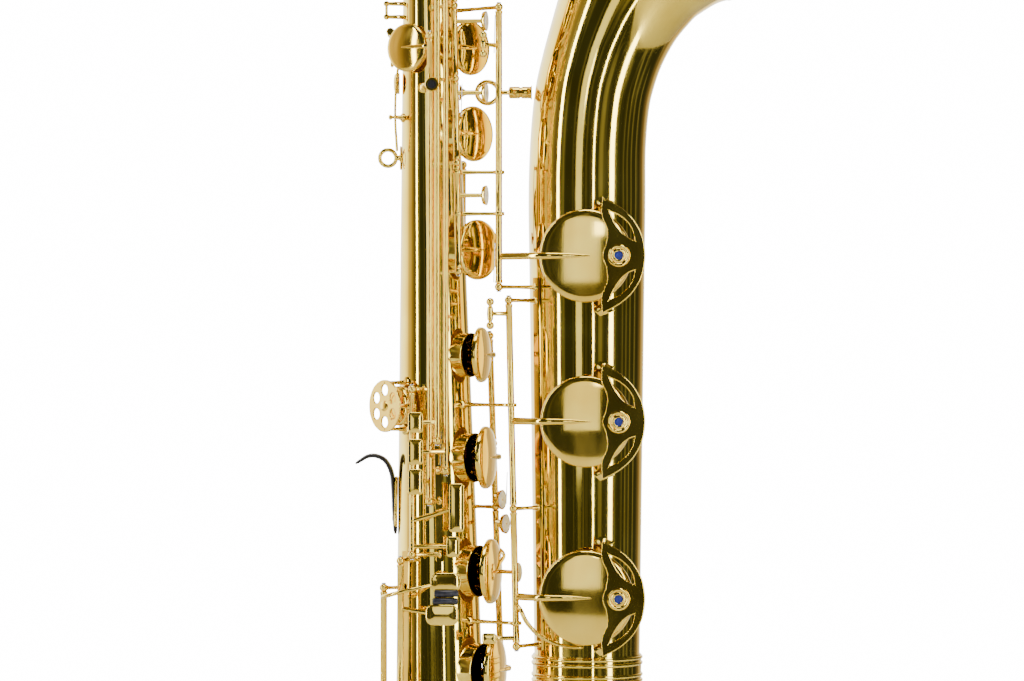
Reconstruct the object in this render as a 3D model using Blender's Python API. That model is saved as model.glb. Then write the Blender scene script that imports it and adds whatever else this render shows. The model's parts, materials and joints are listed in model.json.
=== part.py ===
"""Low A baritone saxophone, built from its separate tubes, braces, ribs, rods, guards and keys.

Lengths are in millimetres and are turned into metres once, when a mesh is made.
Frame: the origin is the centre of the strap ring, +X runs from the body tube to the bell,
-Y is the player's right side, where the bell keys face, and +Z is up.
"""
from math import cos, radians, sin

import bpy
from mathutils import Matrix, Vector

UNIT = 0.001
GAP = 0.4
GUARD_R = 43.5
GUARD_STAND = 25.5
BOSS_OUT = 24.0
BOSS_R = 9.5
BUMPER_R = 6.0
RIGHT_PEARLS_FACE = (0.8, -0.6, 0)
WALL = 1.1

# Body tube: a cone whose axis leans slightly away from the bell.
BODY_TOP = 330.0
BODY_BOTTOM = -545.0
BODY_AXIS_X = 36.3
BODY_LEAN = -0.0155
BODY_RADIUS = 25.04
BODY_TAPER = -0.02543

# Bell: axis points as (x, z, radius), straight below and turning outward to the rim.
BELL_X = 165.8
BELL_BOTTOM = -424.0
BELL_AXIS = ((165.8, -35, 48.8), (166.6, 10, 48.3), (170, 48, 48.2), (175.5, 73, 48.4),
             (183, 97, 49.6), (193.5, 123, 53.0), (205, 145, 58.0), (215.5, 164, 67.0), (225, 183, 81.0))
BELL_BOTTOM_RADIUS = 43.8
BELL_LEAN = radians(38)

# Bow: a half circle between the two tubes.
BOW_Z = -600.0
BOW_TOP_RADIUS = 39.0
BOW_STEPS = 9

CHIMNEY = 6.0
CHIMNEY_WALL = 1.2
HOLE_SIDES = 12
CUP_HEIGHT = 6.0
TUBE_R = 3.0
SLIM_TUBE_R = 2.6
BORE_R = 2.0
ROD_R = 1.5
POST_R = 1.8
POST_HALF = 2.5

STACK_ANGLE = -28.0
SIDE_ANGLE = -125.0
PALM_ANGLE = 112.0

MATERIALS = {
    "lacquered_brass": ((0.83, 0.60, 0.26), 1.0, 0.12),
    "steel": ((0.62, 0.62, 0.62), 1.0, 0.25),
    "cork": ((0.62, 0.42, 0.24), 0.0, 0.85),
    "ebonite": ((0.015, 0.015, 0.017), 0.0, 0.25),
    "cane": ((0.80, 0.66, 0.38), 0.0, 0.6),
    "black_plastic": ((0.02, 0.02, 0.022), 0.0, 0.35),
    "blue_felt": ((0.03, 0.06, 0.45), 0.0, 0.95),
}


def clear_scene():
    for item in list(bpy.data.objects):
        bpy.data.objects.remove(item)


def material(name):
    found = bpy.data.materials.get(name)
    if found:
        return found
    colour, metallic, roughness = MATERIALS[name]
    made = bpy.data.materials.new(name)
    made.use_nodes = True
    shader = made.node_tree.nodes["Principled BSDF"]
    shader.inputs["Base Color"].default_value = (*colour, 1)
    shader.inputs["Metallic"].default_value = metallic
    shader.inputs["Roughness"].default_value = roughness
    return made


def mesh_object(name, points, faces):
    mesh = bpy.data.meshes.new(name)
    mesh.from_pydata([Vector(p) * UNIT for p in points], [], faces)
    made = bpy.data.objects.new(name, mesh)
    bpy.context.collection.objects.link(made)
    return made


def cross_hint(along):
    """An axis that is well off the given direction."""
    return Vector((0, 1, 0)) if abs(along.y) < 0.75 else Vector((1, 0, 0))


def ring_points(centre, along, radius, sides, hint=None):
    """A circle about centre, across the direction along, starting from the side of hint."""
    along = Vector(along).normalized()
    hint = hint or cross_hint(along)
    u = (hint - along * hint.dot(along)).normalized()
    v = along.cross(u)
    turn = [radians(360 * (i + 0.5) / sides) for i in range(sides)]
    return [Vector(centre) + u * (radius * cos(a)) + v * (radius * sin(a)) for a in turn]


def loft(name, rings, closed=False):
    """A skin over rings of equal length: capped at both ends, or closed into a loop."""
    sides = len(rings[0])
    count = len(rings)
    points = [p for ring in rings for p in ring]
    faces = []
    for i in range(count if closed else count - 1):
        a = i * sides
        b = (i + 1) % count * sides
        faces += [(a + j, a + (j + 1) % sides, b + (j + 1) % sides, b + j) for j in range(sides)]
    if not closed:
        faces.append(tuple(reversed(range(sides))))
        faces.append(tuple(range((count - 1) * sides, count * sides)))
    return mesh_object(name, points, faces)


def directions(points):
    """The direction of a path at each of its points."""
    ends = [points[0], *points, points[-1]]
    return [(Vector(ends[i + 2]) - Vector(ends[i])).normalized() for i in range(len(points))]


def sweep(name, points, radii, sides=8):
    """A solid rod along a path."""
    hint = cross_hint((Vector(points[-1]) - Vector(points[0])).normalized())
    rings = [ring_points(p, d, r, sides, hint)
             for p, d, r in zip(points, directions(points), radii)]
    return loft(name, rings)


def rod(name, start, end, radius, sides=8, end_radius=None):
    last = radius if end_radius is None else end_radius
    return sweep(name, [Vector(start), Vector(end)], [radius, last], sides)


def pipe(name, points, radii, wall, sides=24):
    """A hollow tube along a path, open at both ends."""
    aims = directions(points)
    side = Vector((0, 1, 0))
    outer = [ring_points(p, d, r, sides, side) for p, d, r in zip(points, aims, radii)]
    inner = [ring_points(p, d, r - wall, sides, side) for p, d, r in zip(points, aims, radii)]
    return loft(name, outer + inner[::-1], closed=True)


def block(name, centre, size, across=(1, 0, 0), up=(0, 0, 1)):
    """A box: size is measured along across, along up, and along the third direction."""
    u = Vector(across).normalized()
    v = Vector(up).normalized()
    w = u.cross(v)
    half = [s / 2 for s in size]
    corners = [(-1, -1), (1, -1), (1, 1), (-1, 1)]
    rings = [[Vector(centre) + u * (a * half[0]) + v * (b * half[1]) + w * (c * half[2])
              for a, b in corners] for c in (-1, 1)]
    return loft(name, rings)


def torus(name, centre, axis, major, minor, around=16, sides=8):
    axis = Vector(axis).normalized()
    spine = ring_points(centre, axis, major, around)
    rings = []
    for p in spine:
        out = (p - Vector(centre)).normalized()
        turn = [radians(360 * (j + 0.5) / sides) for j in range(sides)]
        rings.append([p + out * (minor * cos(a)) + axis * (minor * sin(a)) for a in turn])
    return loft(name, rings, closed=True)


def face_out(item):
    """Turns a closed mesh whose faces point in the right way round."""
    mesh = item.data
    mesh.calc_loop_triangles()
    volume = sum(mesh.vertices[t.vertices[0]].co.dot(
        mesh.vertices[t.vertices[1]].co.cross(mesh.vertices[t.vertices[2]].co))
        for t in mesh.loop_triangles)
    if volume < 0:
        mesh.flip_normals()


def combine(base, others, operation):
    """Joins or cuts base with each other shape in turn, and removes those shapes."""
    for other in others:
        face_out(other)
        step = base.modifiers.new(operation.lower(), "BOOLEAN")
        step.operation = operation
        step.solver = "EXACT"
        step.object = other
    bpy.context.view_layer.update()
    result = bpy.data.meshes.new_from_object(base.evaluated_get(bpy.context.evaluated_depsgraph_get()))
    base.modifiers.clear()
    base.data = result
    for other in others:
        bpy.data.objects.remove(other)


def finish(item, slot, origin=(0, 0, 0)):
    """Gives a node its material and shading, and moves its origin to its own joint."""
    face_out(item)
    shift = Vector(origin) * UNIT
    item.data.transform(Matrix.Translation(-shift))
    item.location = shift
    item.data.materials.clear()
    item.data.materials.append(material(slot))
    item.data.shade_smooth()
    item.data.set_sharp_from_angle(angle=radians(35))
    return item


def node(name, pieces, slot="lacquered_brass", cuts=(), origin=(0, 0, 0)):
    """One part: its pieces joined into one solid, then cut."""
    base = pieces[0]
    face_out(base)
    base.name = name
    base.data.name = name
    if len(pieces) > 1:
        combine(base, pieces[1:], "UNION")
    if cuts:
        combine(base, list(cuts), "DIFFERENCE")
    return finish(base, slot, origin)


def out(angle):
    """The level direction at an angle from +X."""
    return Vector((cos(radians(angle)), sin(radians(angle)), 0))


def body_axis(z):
    return Vector((BODY_AXIS_X + BODY_LEAN * z, 0, z))


def body_radius(z):
    return BODY_RADIUS + BODY_TAPER * z


def on_body(z, angle, height=0.0):
    return body_axis(z) + out(angle) * (body_radius(z) + height)


def bell_radius(z):
    """Radius of the straight part of the bell."""
    share = (z - BELL_BOTTOM) / (BELL_AXIS[0][1] - BELL_BOTTOM)
    return BELL_BOTTOM_RADIUS + share * (BELL_AXIS[0][2] - BELL_BOTTOM_RADIUS)


def on_bell(z, angle, height=0.0):
    return Vector((BELL_X, 0, z)) + out(angle) * (bell_radius(z) + height)


class Line:
    """A hinge line between two points, read by height."""

    def __init__(self, top, bottom):
        self.top = Vector(top)
        self.bottom = Vector(bottom)
        self.along = (self.top - self.bottom).normalized()

    def at(self, z):
        share = (z - self.bottom.z) / (self.top.z - self.bottom.z)
        return self.bottom.lerp(self.top, share)


LEFT_STACK = Line((54.5, -42.5, 186), (59.5, -44.5, -98))
RIGHT_STACK = Line((84.5, 8.0, -145), (94.5, 13.0, -439))
SIDE_LOW = Line((35.8, -43, 100), (35.8, -45, -287))
SIDE_MID = Line((49, -46, 174), (49, -47, -262))
SIDE_HIGH = Line((42.3, -55, 219), (42.3, -57, -237))
TRILL = Line((21.3, -42, -192), (21.3, -45, -328))
BELL_HIGH = Line((92.5, -45, 124), (92.5, -45, -111))
BELL_LOW = Line((100.5, -45, -113), (107, -45, -406))
PINKY_NEAR = Line((11.7, -41, -330), (11.7, -45, -545))
PINKY_FAR = Line((-2.5, -28, -352), (-2.5, -32, -545))
PALM = Line((4.9, 17.4, 318), (5.7, 20.6, 180))
G_SHARP = Line((62, 33, 0), (62, 37, -80))


class Hole:
    """A tone hole: its rim centre, facing direction, hole radius and cup radius."""

    def __init__(self, rim, facing, hole_r, cup_r):
        self.rim = Vector(rim)
        self.facing = Vector(facing).normalized()
        self.hole_r = hole_r
        self.cup_r = cup_r


def body_hole(z, angle, hole_r, cup_r):
    return Hole(on_body(z, angle, CHIMNEY), out(angle), hole_r, cup_r)


def bell_hole(z, hole_r, cup_r):
    return Hole(on_bell(z, -90, CHIMNEY), (0, -1, 0), hole_r, cup_r)


BODY_HOLES = {
    "c_key": body_hole(150, STACK_ANGLE, 13.5, 20),
    "b_key": body_hole(90, STACK_ANGLE, 15, 22.5),
    "a_key": body_hole(19, STACK_ANGLE, 16.5, 23),
    "g_key": body_hole(-77, STACK_ANGLE, 18.5, 25),
    "f_sharp_key": body_hole(-164, STACK_ANGLE, 17.5, 23),
    "f_key": body_hole(-249, STACK_ANGLE, 19.5, 26),
    "e_key": body_hole(-343, STACK_ANGLE, 20.5, 27),
    "d_key": body_hole(-425, STACK_ANGLE, 21.5, 28),
    "e_flat_key": body_hole(-500, 176, 20, 26),
    "side_b_flat_key": body_hole(90, SIDE_ANGLE, 10, 20),
    "side_c_key": body_hole(160, SIDE_ANGLE, 8, 14),
    "high_e_key": body_hole(205, SIDE_ANGLE, 7, 13),
    "trill_f_sharp_key": body_hole(-206, -142, 11, 16.5),
    "palm_d_key": body_hole(195, PALM_ANGLE, 8, 13),
    "palm_e_flat_key": body_hole(243, PALM_ANGLE, 7.5, 12.5),
    "palm_f_key": body_hole(290, PALM_ANGLE, 7, 12),
    "g_sharp_key": body_hole(-40, 90, 14, 20),
}
BELL_HOLES = {
    "low_a_key": bell_hole(-83, 31, 38),
    "low_b_flat_key": bell_hole(-218, 30.5, 37.5),
    "low_b_key": bell_hole(-362, 31.5, 39),
}
LOW_C_HOLE = Hole((45.6, -39.8 - CHIMNEY, -597), (0, -1, 0), 22, 29)


def chimney(hole, depth):
    inner_end = hole.rim - hole.facing * depth
    return rod("chimney", inner_end, hole.rim, hole.hole_r + CHIMNEY_WALL, HOLE_SIDES)


def drill(hole, depth):
    return rod("drill", hole.rim - hole.facing * depth, hole.rim + hole.facing * 4, hole.hole_r, HOLE_SIDES)


def tube_with_holes(name, points, radii, holes, depth, aims=None, sides=18):
    """A conical tube with raised tone holes, hollow right through."""
    aims = aims or directions(points)
    skin = loft(name, [ring_points(p, d, r, sides) for p, d, r in zip(points, aims, radii)])
    long_points = [points[0] - aims[0] * 2, *points[1:-1], points[-1] + aims[-1] * 2]
    bore = loft("bore", [ring_points(p, d, r - WALL, sides)
                         for p, d, r in zip(long_points, aims, radii)])
    return node(name, [skin, *[chimney(h, depth) for h in holes]],
                cuts=[bore, *[drill(h, depth) for h in holes]])


def make_body_tube():
    heights = [BODY_BOTTOM, -110, BODY_TOP]
    tube_with_holes("body_tube", [body_axis(z) for z in heights], [body_radius(z) for z in heights],
                    BODY_HOLES.values(), 19, [Vector((0, 0, 1))] * 3)


def bell_points():
    points = [Vector((BELL_X, 0, BELL_BOTTOM))] + [Vector((x, 0, z)) for x, z, _ in BELL_AXIS]
    radii = [BELL_BOTTOM_RADIUS] + [r for _, _, r in BELL_AXIS]
    aims = directions(points)
    aims[-1] = Vector((sin(BELL_LEAN), 0, cos(BELL_LEAN)))
    return points, radii, aims


def make_bell():
    points, radii, aims = bell_points()
    tube_with_holes("bell", points, radii, BELL_HOLES.values(), 24, aims, sides=24)


def bow_points(grow=0.0):
    """Path and radii of the bow, from the body side round to the bell side."""
    left = body_axis(BODY_BOTTOM - 1)
    top = Vector((BELL_X, 0, BELL_BOTTOM - 1))
    low_left = Vector((BODY_AXIS_X + BODY_LEAN * BOW_Z, 0, BOW_Z))
    middle = (low_left.x + BELL_X) / 2
    reach = (BELL_X - low_left.x) / 2
    points = [left]
    for i in range(BOW_STEPS + 1):
        a = radians(180 + 180 * i / BOW_STEPS)
        points.append(Vector((middle + reach * cos(a), 0, BOW_Z + reach * sin(a))))
    points.append(top)
    radii = [BOW_TOP_RADIUS + (BELL_BOTTOM_RADIUS - BOW_TOP_RADIUS) * i / (len(points) - 1) + grow
             for i in range(len(points))]
    return points, radii


def make_bow():
    points, radii = bow_points()
    tube_with_holes("bow", points, radii, [LOW_C_HOLE], 24, sides=18)


def make_bow_foot():
    points, radii = bow_points(GAP)
    lowest = min(p.z - r for p, r in zip(points, radii))
    foot = block("bow_foot", (105.6, 0, lowest + 6.5), (64, 22, 28), (1, 0, 0), (0, 0, 1))
    node("bow_foot", [foot], cuts=[sweep("bow_space", points[3:9], radii[3:9], 18)])


def band(name, centre, aim, inner_r, length, thick, sides=22):
    """A ferrule: one hollow ring with a raised bead in the middle."""
    aim = Vector(aim).normalized()
    steps = ((-0.5, 0), (-0.2, 1.0), (0.2, 1.0), (0.5, 0))
    outer = [ring_points(Vector(centre) + aim * (length * s), aim, inner_r + thick + lift, sides)
             for s, lift in steps]
    inner = [ring_points(Vector(centre) + aim * (length * s), aim, inner_r, sides) for s in (0.5, -0.5)]
    return finish(loft(name, outer + inner, closed=True), "lacquered_brass")


def make_pigtail():
    top = body_axis(BODY_TOP + 1)
    bend_r = 40.0
    second_x = top.x + 2 * bend_r
    points = [top]
    points += [Vector((top.x + bend_r * (1 - cos(radians(a))), 0, BODY_TOP + 4 + bend_r * sin(radians(a))))
               for a in range(0, 181, 30)]
    third = Vector((75, 34, 240))
    second = Vector((second_x, 0, 240))
    middle = (second + third) / 2
    half = (third - second) / 2
    points += [middle - half * cos(radians(a)) - Vector((0, 0, half.length * sin(radians(a))))
               for a in range(0, 181, 30)]
    points += [third + Vector((0, 0, 118))]
    radii = [16.4 - 4.4 * i / (len(points) - 1) for i in range(len(points))]
    finish(pipe("pigtail_loop", points, radii, WALL, 14), "lacquered_brass")
    band("neck_receiver", (75, 34, 376), (0, 0, 1), 13.0, 34, 2.0, 16)
    stem = rod("loop_brace", (52.5, 0, 285), (97.0, 0, 285), 2.2, 8)
    node("loop_brace", [stem, rod("end", (52.0, 0, 285), (54.0, 0, 285), 5, 10),
                        rod("end", (94.2, 0, 285), (95.7, 0, 285), 5, 10)])


def neck_path():
    """Centre points of the neck, then of its straight end."""
    start = Vector((75, 34, 361))
    centre = Vector((33, 34, 408))
    bend = 42.0
    points = [start, Vector((75, 34, 385))]
    for angle in range(0, 101, 25):
        points.append(centre + Vector((cos(radians(angle)), 0, sin(radians(angle)))) * bend)
    aim = (points[-1] - points[-2]).normalized()
    points.append(points[-1] + aim * 58)
    return points, aim


def make_neck():
    points, aim = neck_path()
    points[0] = Vector((75, 34, 361))
    radii = [12.4, 12.4] + [12.0 - 4.2 * i / (len(points) - 3) for i in range(len(points) - 2)]
    finish(pipe("neck", points, radii, WALL, 14), "lacquered_brass")
    tip = points[-1]
    finish(pipe("neck_cork", [tip - aim * 34, tip - aim * 1], [10.2, 9.4], 1.0, 14), "cork")
    shank = tip - aim * 22
    end = shank + aim * 98
    stations = [(0, 14.0), (14, 14.2), (40, 13.2), (58, 12.2)]
    body = sweep("mouthpiece", [shank + aim * s for s, _ in stations], [r for _, r in stations], 16)
    across = Vector((0, 1, 0))
    up = across.cross(aim)
    if up.z < 0:
        up = -up
    beak = loft("beak", [[shank + aim * 54 + across * (a * 10) + up * (b * 10) for a, b in
                          ((-1, -0.9), (1, -0.9), (1, 0.9), (-1, 0.9))],
                         [end + across * (a * 9) + up * (b * 1.1 - 7.6) for a, b in
                          ((-1, -0.9), (1, -0.9), (1, 0.9), (-1, 0.9))]])
    flat = block("table", shank + aim * 66 - up * 19, (80, 20, 30), aim, up)
    bore = rod("bore", shank - aim * 3, shank + aim * 46, 10.8, 14)
    chamber = rod("chamber", shank + aim * 40, shank + aim * 70, 5.5, 8)
    node("mouthpiece", [body, beak], "ebonite", [flat, bore, chamber])
    seat = shank + aim * 60 - up * (9 + GAP + 1.3)
    corners = ((-1, -1), (1, -1), (1, 1), (-1, 1))
    reed = loft("reed", [[seat + aim * s + across * (a * 8.6) + up * (b * t + 1.3 - t) for a, b in corners]
                         for s, t in ((-32, 1.3), (4, 1.3), (35, 0.25))])
    finish(reed, "cane")
    grip = [ring_points(shank + aim * s, aim, 17.3, 14) for s in (30, 52)]
    inside = [ring_points(shank + aim * s, aim, 15.9, 14) for s in (52, 30)]
    finish(loft("ligature", grip + inside, closed=True), "lacquered_brass")


def make_strap_ring():
    ring = torus("strap_ring", (0, 0, 0), (0, 1, 0), 6.8, 1.6, 14, 6)
    stem = rod("stem", (7.0, 0, 0), (10.4, 0, 0), 2.4, 8)
    foot = block("foot", (10.2, 0, 0), (1.2, 22, 7), (1, 0, 0), (0, 0, 1))
    node("strap_ring", [ring, stem, foot])


def make_thumb_hook():
    across = Vector((0, 1, 0))
    path = [Vector(p) for p in ((6.0, 0, -306), (3.5, 0, -292), (2.0, 0, -272), (-1.0, 0, -259),
                                (-8.0, 0, -250), (-16.5, 0, -249), (-23.5, 0, -253))]
    thick = [2.0, 2.2, 2.4, 2.6, 2.6, 2.2, 1.4]
    rings = []
    for p, d, t in zip(path, directions(path), thick):
        side = d.cross(across)
        rings.append([p + across * (a * 8) + side * (b * t) for a, b in ((-1, -1), (1, -1), (1, 1), (-1, 1))])
    slope = -BODY_LEAN - BODY_TAPER
    plate = block("plate", (5.9, 0, -284), (3.0, 48, 15), (1, 0, -slope), (slope, 0, 1))
    node("thumb_hook", [loft("hook", rings), plate], "black_plastic")
    rest = on_body(62, 180, 2.2)
    node("thumb_rest", [rod("thumb_rest", rest, rest - Vector((5, 0, 0)), 9, 14, 8)], "black_plastic")


def make_bell_brace():
    z = 54.5
    left = on_body(z, 0, 1.2)
    right = Vector((120.6, 0, z))
    ring = torus("bell_brace", (83, 0, z), (0, 1, 0), 9.0, 1.8, 12, 6)
    foot = rod("foot", left - Vector((0.6, 0, 0)), left + Vector((1.2, 0, 0)), 6, 12)
    bars = [rod("bar", left, (74.5, 0, z), 2.2), rod("bar", (91.5, 0, z), (103, 0, z), 2.2)]
    node("bell_brace", [ring, foot, *bars, rod("barrel", (100, 0, z), right, 5, 12)])


def post(line, z, root, radius=POST_R):
    """A post from its foot to a barrel on a hinge line."""
    eye = line.at(z)
    return [rod("stem", root, eye, radius, 5),
            rod("barrel", eye - line.along * POST_HALF, eye + line.along * POST_HALF, 3.6, 8)]


def bore_along(line, top, bottom):
    return rod("pin_space", line.at(top + 6), line.at(bottom - 6), BORE_R, 8)


def strip(surface, angle, top, bottom, width):
    """A flat rib that lies along a tube."""
    face = out(angle)
    side = Vector((-face.y, face.x, 0))
    rings = []
    for z in (bottom, top):
        near = surface(z, angle, GAP + 0.42)
        rings.append([near + side * (a * width / 2) + face * b
                      for a, b in ((-1, 0), (1, 0), (1, 2.0), (-1, 2.0))])
    return loft("strip", rings)


RIB_ANGLE = -86.0


def make_main_rib():
    posts = []
    for z in (182.5, 123, 63, -6, -95):
        posts += post(LEFT_STACK, z, on_body(z, RIB_ANGLE, 1.2) + Vector((1.5, 0, 0)))
    for line, heights in ((SIDE_LOW, (98.5, -284)), (SIDE_MID, (171, -259)),
                          (SIDE_HIGH, (216, -234)), (TRILL, (-192, -328))):
        for z in heights:
            posts += post(line, z, on_body(z, RIB_ANGLE, 1.2), 1.6)
    node("main_rib", [strip(on_body, RIB_ANGLE, 222, -334, 6.5), *posts],
         cuts=[bore_along(LEFT_STACK, 187, -100)])


def make_right_rib():
    angle = 38.0
    posts = []
    for z in (-148, -238, -291, -436):
        posts += post(RIGHT_STACK, z, on_body(z, angle, 1.2))
    node("lower_stack_rib", [strip(on_body, angle, -142, -442, 8), *posts],
         cuts=[bore_along(RIGHT_STACK, -143, -441)])


def make_bell_rib():
    angle = -150.0
    posts = post(BELL_HIGH, -108, on_bell(-108, angle, 1.2))
    for z in (-119, -290, -403):
        posts += post(BELL_LOW, z, on_bell(z, angle, 1.2))
    node("bell_key_rib", [strip(on_bell, angle, -100, -408, 9), *posts],
         cuts=[bore_along(BELL_HIGH, -104, -111), bore_along(BELL_LOW, -116, -406)])
    foot = on_body(121.5, STACK_ANGLE, 0.8)
    face = out(STACK_ANGLE)
    node("bell_rod_bracket", [*post(BELL_HIGH, 121.5, foot + face),
                              rod("foot", foot - face * 0.4, foot + face * 1.2, 4.5, 10)],
         cuts=[bore_along(BELL_HIGH, 124, 119)])


def make_pinky_rib():
    angle = -138.0
    posts = []
    for z in (-333, -524):
        posts += post(PINKY_NEAR, z, on_body(z, angle, 1.2) + Vector((2, -1, 0)))
    for z in (-356, -529):
        posts += post(PINKY_FAR, z, on_body(z, angle, 1.2) + Vector((-2, 1, 0)))
    node("pinky_rib", [strip(on_body, angle, -326, -532, 9), *posts])


def make_far_ribs():
    posts = []
    for z in (314, 266.5, 219, 172):
        posts += post(PALM, z, on_body(z, 155, 1.2), 1.5)
    node("palm_rib", [strip(on_body, 155, 318, 166, 5), *posts])
    posts = []
    for z in (-4, -76):
        posts += post(G_SHARP, z, on_body(z, 44, 1.2))
    node("g_sharp_rib", [strip(on_body, 44, 0, -80, 6), *posts])


def make_octave_mounts():
    """Ears for the thumb lever on the back of the body, and for the octave key on the neck."""
    ears = []
    for y in (-13.5, 13.5):
        ears += [rod("ear", (15.0, y, 104), (3.0, y, 104), 1.8, 6),
                 rod("barrel", (2.5, y - 1.8, 104), (2.5, y + 1.8, 104), 3.4, 10)]
    plate = block("plate", (9.6, 0, 104), (2.0, 7, 28.6), (1, 0, 0), (0, 0, 1))
    node("octave_bracket", [plate, *ears])
    bridge = block("bridge", (15, 34, 459.6), (4, 2.2, 19), (1, 0, 0), (0, 0, 1))
    sides = [block("side", (15, 34 + y, 462), (3.9, 7, 2.4), (1, 0, 0), (0, 0, 1)) for y in (-8.3, 8.3)]
    node("octave_saddle", [bridge, *sides])
    middle, away, along = water_key_frame()
    bar = rod("water_key_saddle", middle + away * 16.5 - along * 9, middle + away * 16.5 + along * 9, 1.6, 6)
    stems = []
    for side in (-1, 1):
        root = middle + away * 16.5 + along * (side * 7.5)
        stems.append(rod("stem", root, root + away * 6 - Vector((0, 0, 4)), 1.8, 6))
    node("water_key_saddle", [bar, *stems])


def water_key_frame():
    """The middle of the lower loop just above its lowest point, and its two level directions."""
    away = Vector((34, 36, 0)).normalized()
    return Vector((93, 17, 214)), away, Vector((-away.y, away.x, 0))


def crescent(name, hole, plane_y):
    """A key guard: a crescent plate with two windows and a boss, on two legs with feet."""
    centre = Vector((hole.rim.x, plane_y, hole.rim.z))
    rim = [(GUARD_R * cos(radians(a)), GUARD_R * sin(radians(a))) for a in range(-75, 76, 25)]
    inside = [(12.0, 33), (15.5, 21), (14.0, 9), (12.5, 0), (14.0, -9), (15.5, -21), (12.0, -33)]
    outline = rim + inside
    near = [centre + Vector((x, -1.2, z)) for x, z in outline]
    far = [centre + Vector((x, 1.2, z)) for x, z in outline]
    plate = loft(name, [near, far])
    windows = []
    for side in (-1, 1):
        shape = [(x, z * side) for x, z in ((36, 11), (31, 23), (22, 31), (21, 23.5), (31, 12.5))]
        windows.append(loft("window", [[centre + Vector((x, y, z)) for x, z in shape] for y in (-4, 4)]))
    boss_at = centre + Vector((BOSS_OUT, 0, 0))
    through = Vector((0, 1, 0))
    boss = rod("boss", boss_at + through * 2.4, boss_at - through * 2.4, BOSS_R, 12)
    seat = rod("seat", boss_at + through * 6, boss_at - through * 6, BUMPER_R, 10)
    legs = []
    for side in (-1, 1):
        top = centre + Vector((12.2, 0, side * (GUARD_R - 2.4)))
        surface_y = -(bell_radius(top.z) ** 2 - (top.x - BELL_X) ** 2) ** 0.5
        foot = Vector((top.x, surface_y - GAP, top.z))
        legs += [rod("leg", top, foot + Vector((0, -1.0, 0)), 2.4, 6, 2.6),
                 block("foot", foot + Vector((0, -1.6, side * 1.5)), (11, 14, 1.6), (1, 0.27, 0), (0, 0, 1))]
    node(name, [plate, boss, *legs], cuts=[seat, *windows])


def make_guards():
    for name in BELL_HOLES:
        hole = BELL_HOLES[name]
        crescent(name.replace("key", "guard"), hole, hole.rim.y - GUARD_STAND)
    hole = BODY_HOLES["trill_f_sharp_key"]
    facing = hole.facing
    middle = hole.rim + facing * 15.5
    wheel = rod("trill_guard", middle - facing * 0.9, middle + facing * 0.9, 21, 18)
    side = Vector((-facing.y, facing.x, 0))
    up = Vector((0, 0, 1))
    holes = []
    for i in range(6):
        a = radians(60 * i)
        place = middle + side * (13.2 * cos(a)) + up * (13.2 * sin(a))
        holes.append(rod("hole", place - facing * 4, place + facing * 4, 4.6, 6))
    legs = []
    for sign in (-1, 1):
        top = middle + up * (sign * 19.2)
        foot = on_body(top.z, -142, GAP + 0.6)
        legs += [rod("leg", top, foot, 1.7, 6),
                 rod("foot", foot + facing * 1.6, foot - facing * 0.3, 4.5, 8)]
    node("trill_guard", [wheel, *legs], cuts=holes)


def turn_about(items, line, angle):
    """Swings shapes about a hinge line, by radians."""
    pivot = Matrix.Translation(line.bottom * UNIT)
    spin = pivot @ Matrix.Rotation(angle, 4, line.along) @ pivot.inverted()
    for item in items:
        item.data.transform(spin)


def cup(hole, sides=12):
    seat = hole.rim + hole.facing * GAP
    steps = ((0, 1.0), (3.2, 1.0), (5.2, 0.7))
    return loft("cup", [ring_points(seat + hole.facing * lift, hole.facing, hole.cup_r * share, sides)
                        for lift, share in steps])


def key(name, hole, line, span, arm_z, opening, rests_open, touches=(), on_rod=False, radius=TUBE_R,
        via=()):
    """A key: hinge tube, arm, cup and touches. Returns it at its rest position.

    A key that rests open is built closed and then swung open. Its joint closes it. The
    joint of a key that rests closed opens it.
    """
    root = line.at(arm_z)
    middle = hole.rim + hole.facing * (GAP + 4.6)
    inward = root - middle
    inward = (inward - hole.facing * inward.dot(hole.facing)).normalized()
    edge = middle + inward * hole.cup_r * 0.85 + hole.facing * 1.6
    path = [root, *[Vector(p) for p in via], edge, middle + hole.facing * 0.4 - inward * 2]
    arm = sweep("arm", path, [2.3] * (len(path) - 2) + [2.1, 1.5], 5)
    moving = [cup(hole), arm, *touches]
    closing = 1.0 if line.along.cross(middle - root).dot(-hole.facing) > 0 else -1.0
    if rests_open:
        turn_about(moving, line, -closing * radians(opening))
    top, bottom = span
    tube = rod(name, line.at(top), line.at(bottom), radius, 8)
    cuts = [bore_along(line, top, bottom)] if on_rod else ()
    made = node(name, [tube, *moving], cuts=cuts, origin=root)
    axis = line.along * (closing if rests_open else -closing)
    made["joint_point_m"] = list(root * UNIT)
    made["joint_axis"] = list(axis)
    made["joint_range_deg"] = [0.0, float(opening)]
    return made


def pearl(line, z, place, facing=(1, 0, 0)):
    """A round finger touch on a short arm."""
    spot = Vector(place)
    aim = Vector(facing)
    return [rod("pearl_arm", line.at(z), spot + aim * 0.4, 1.9, 5),
            rod("pearl_cup", spot - aim * 1.4, spot + aim * 1.6, 8.0, 10)]


def paddle(line, z, place, size, reach=(), across=(1, 0, 0), up=(0, 0, 1)):
    """A flat touch on an arm that runs from the hinge line through the points of reach."""
    spot = Vector(place)
    path = [line.at(z), *[Vector(p) for p in reach], spot]
    return [sweep("touch_arm", path, [1.8] * len(path), 5), block("touch", spot, size, across, up)]


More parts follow.
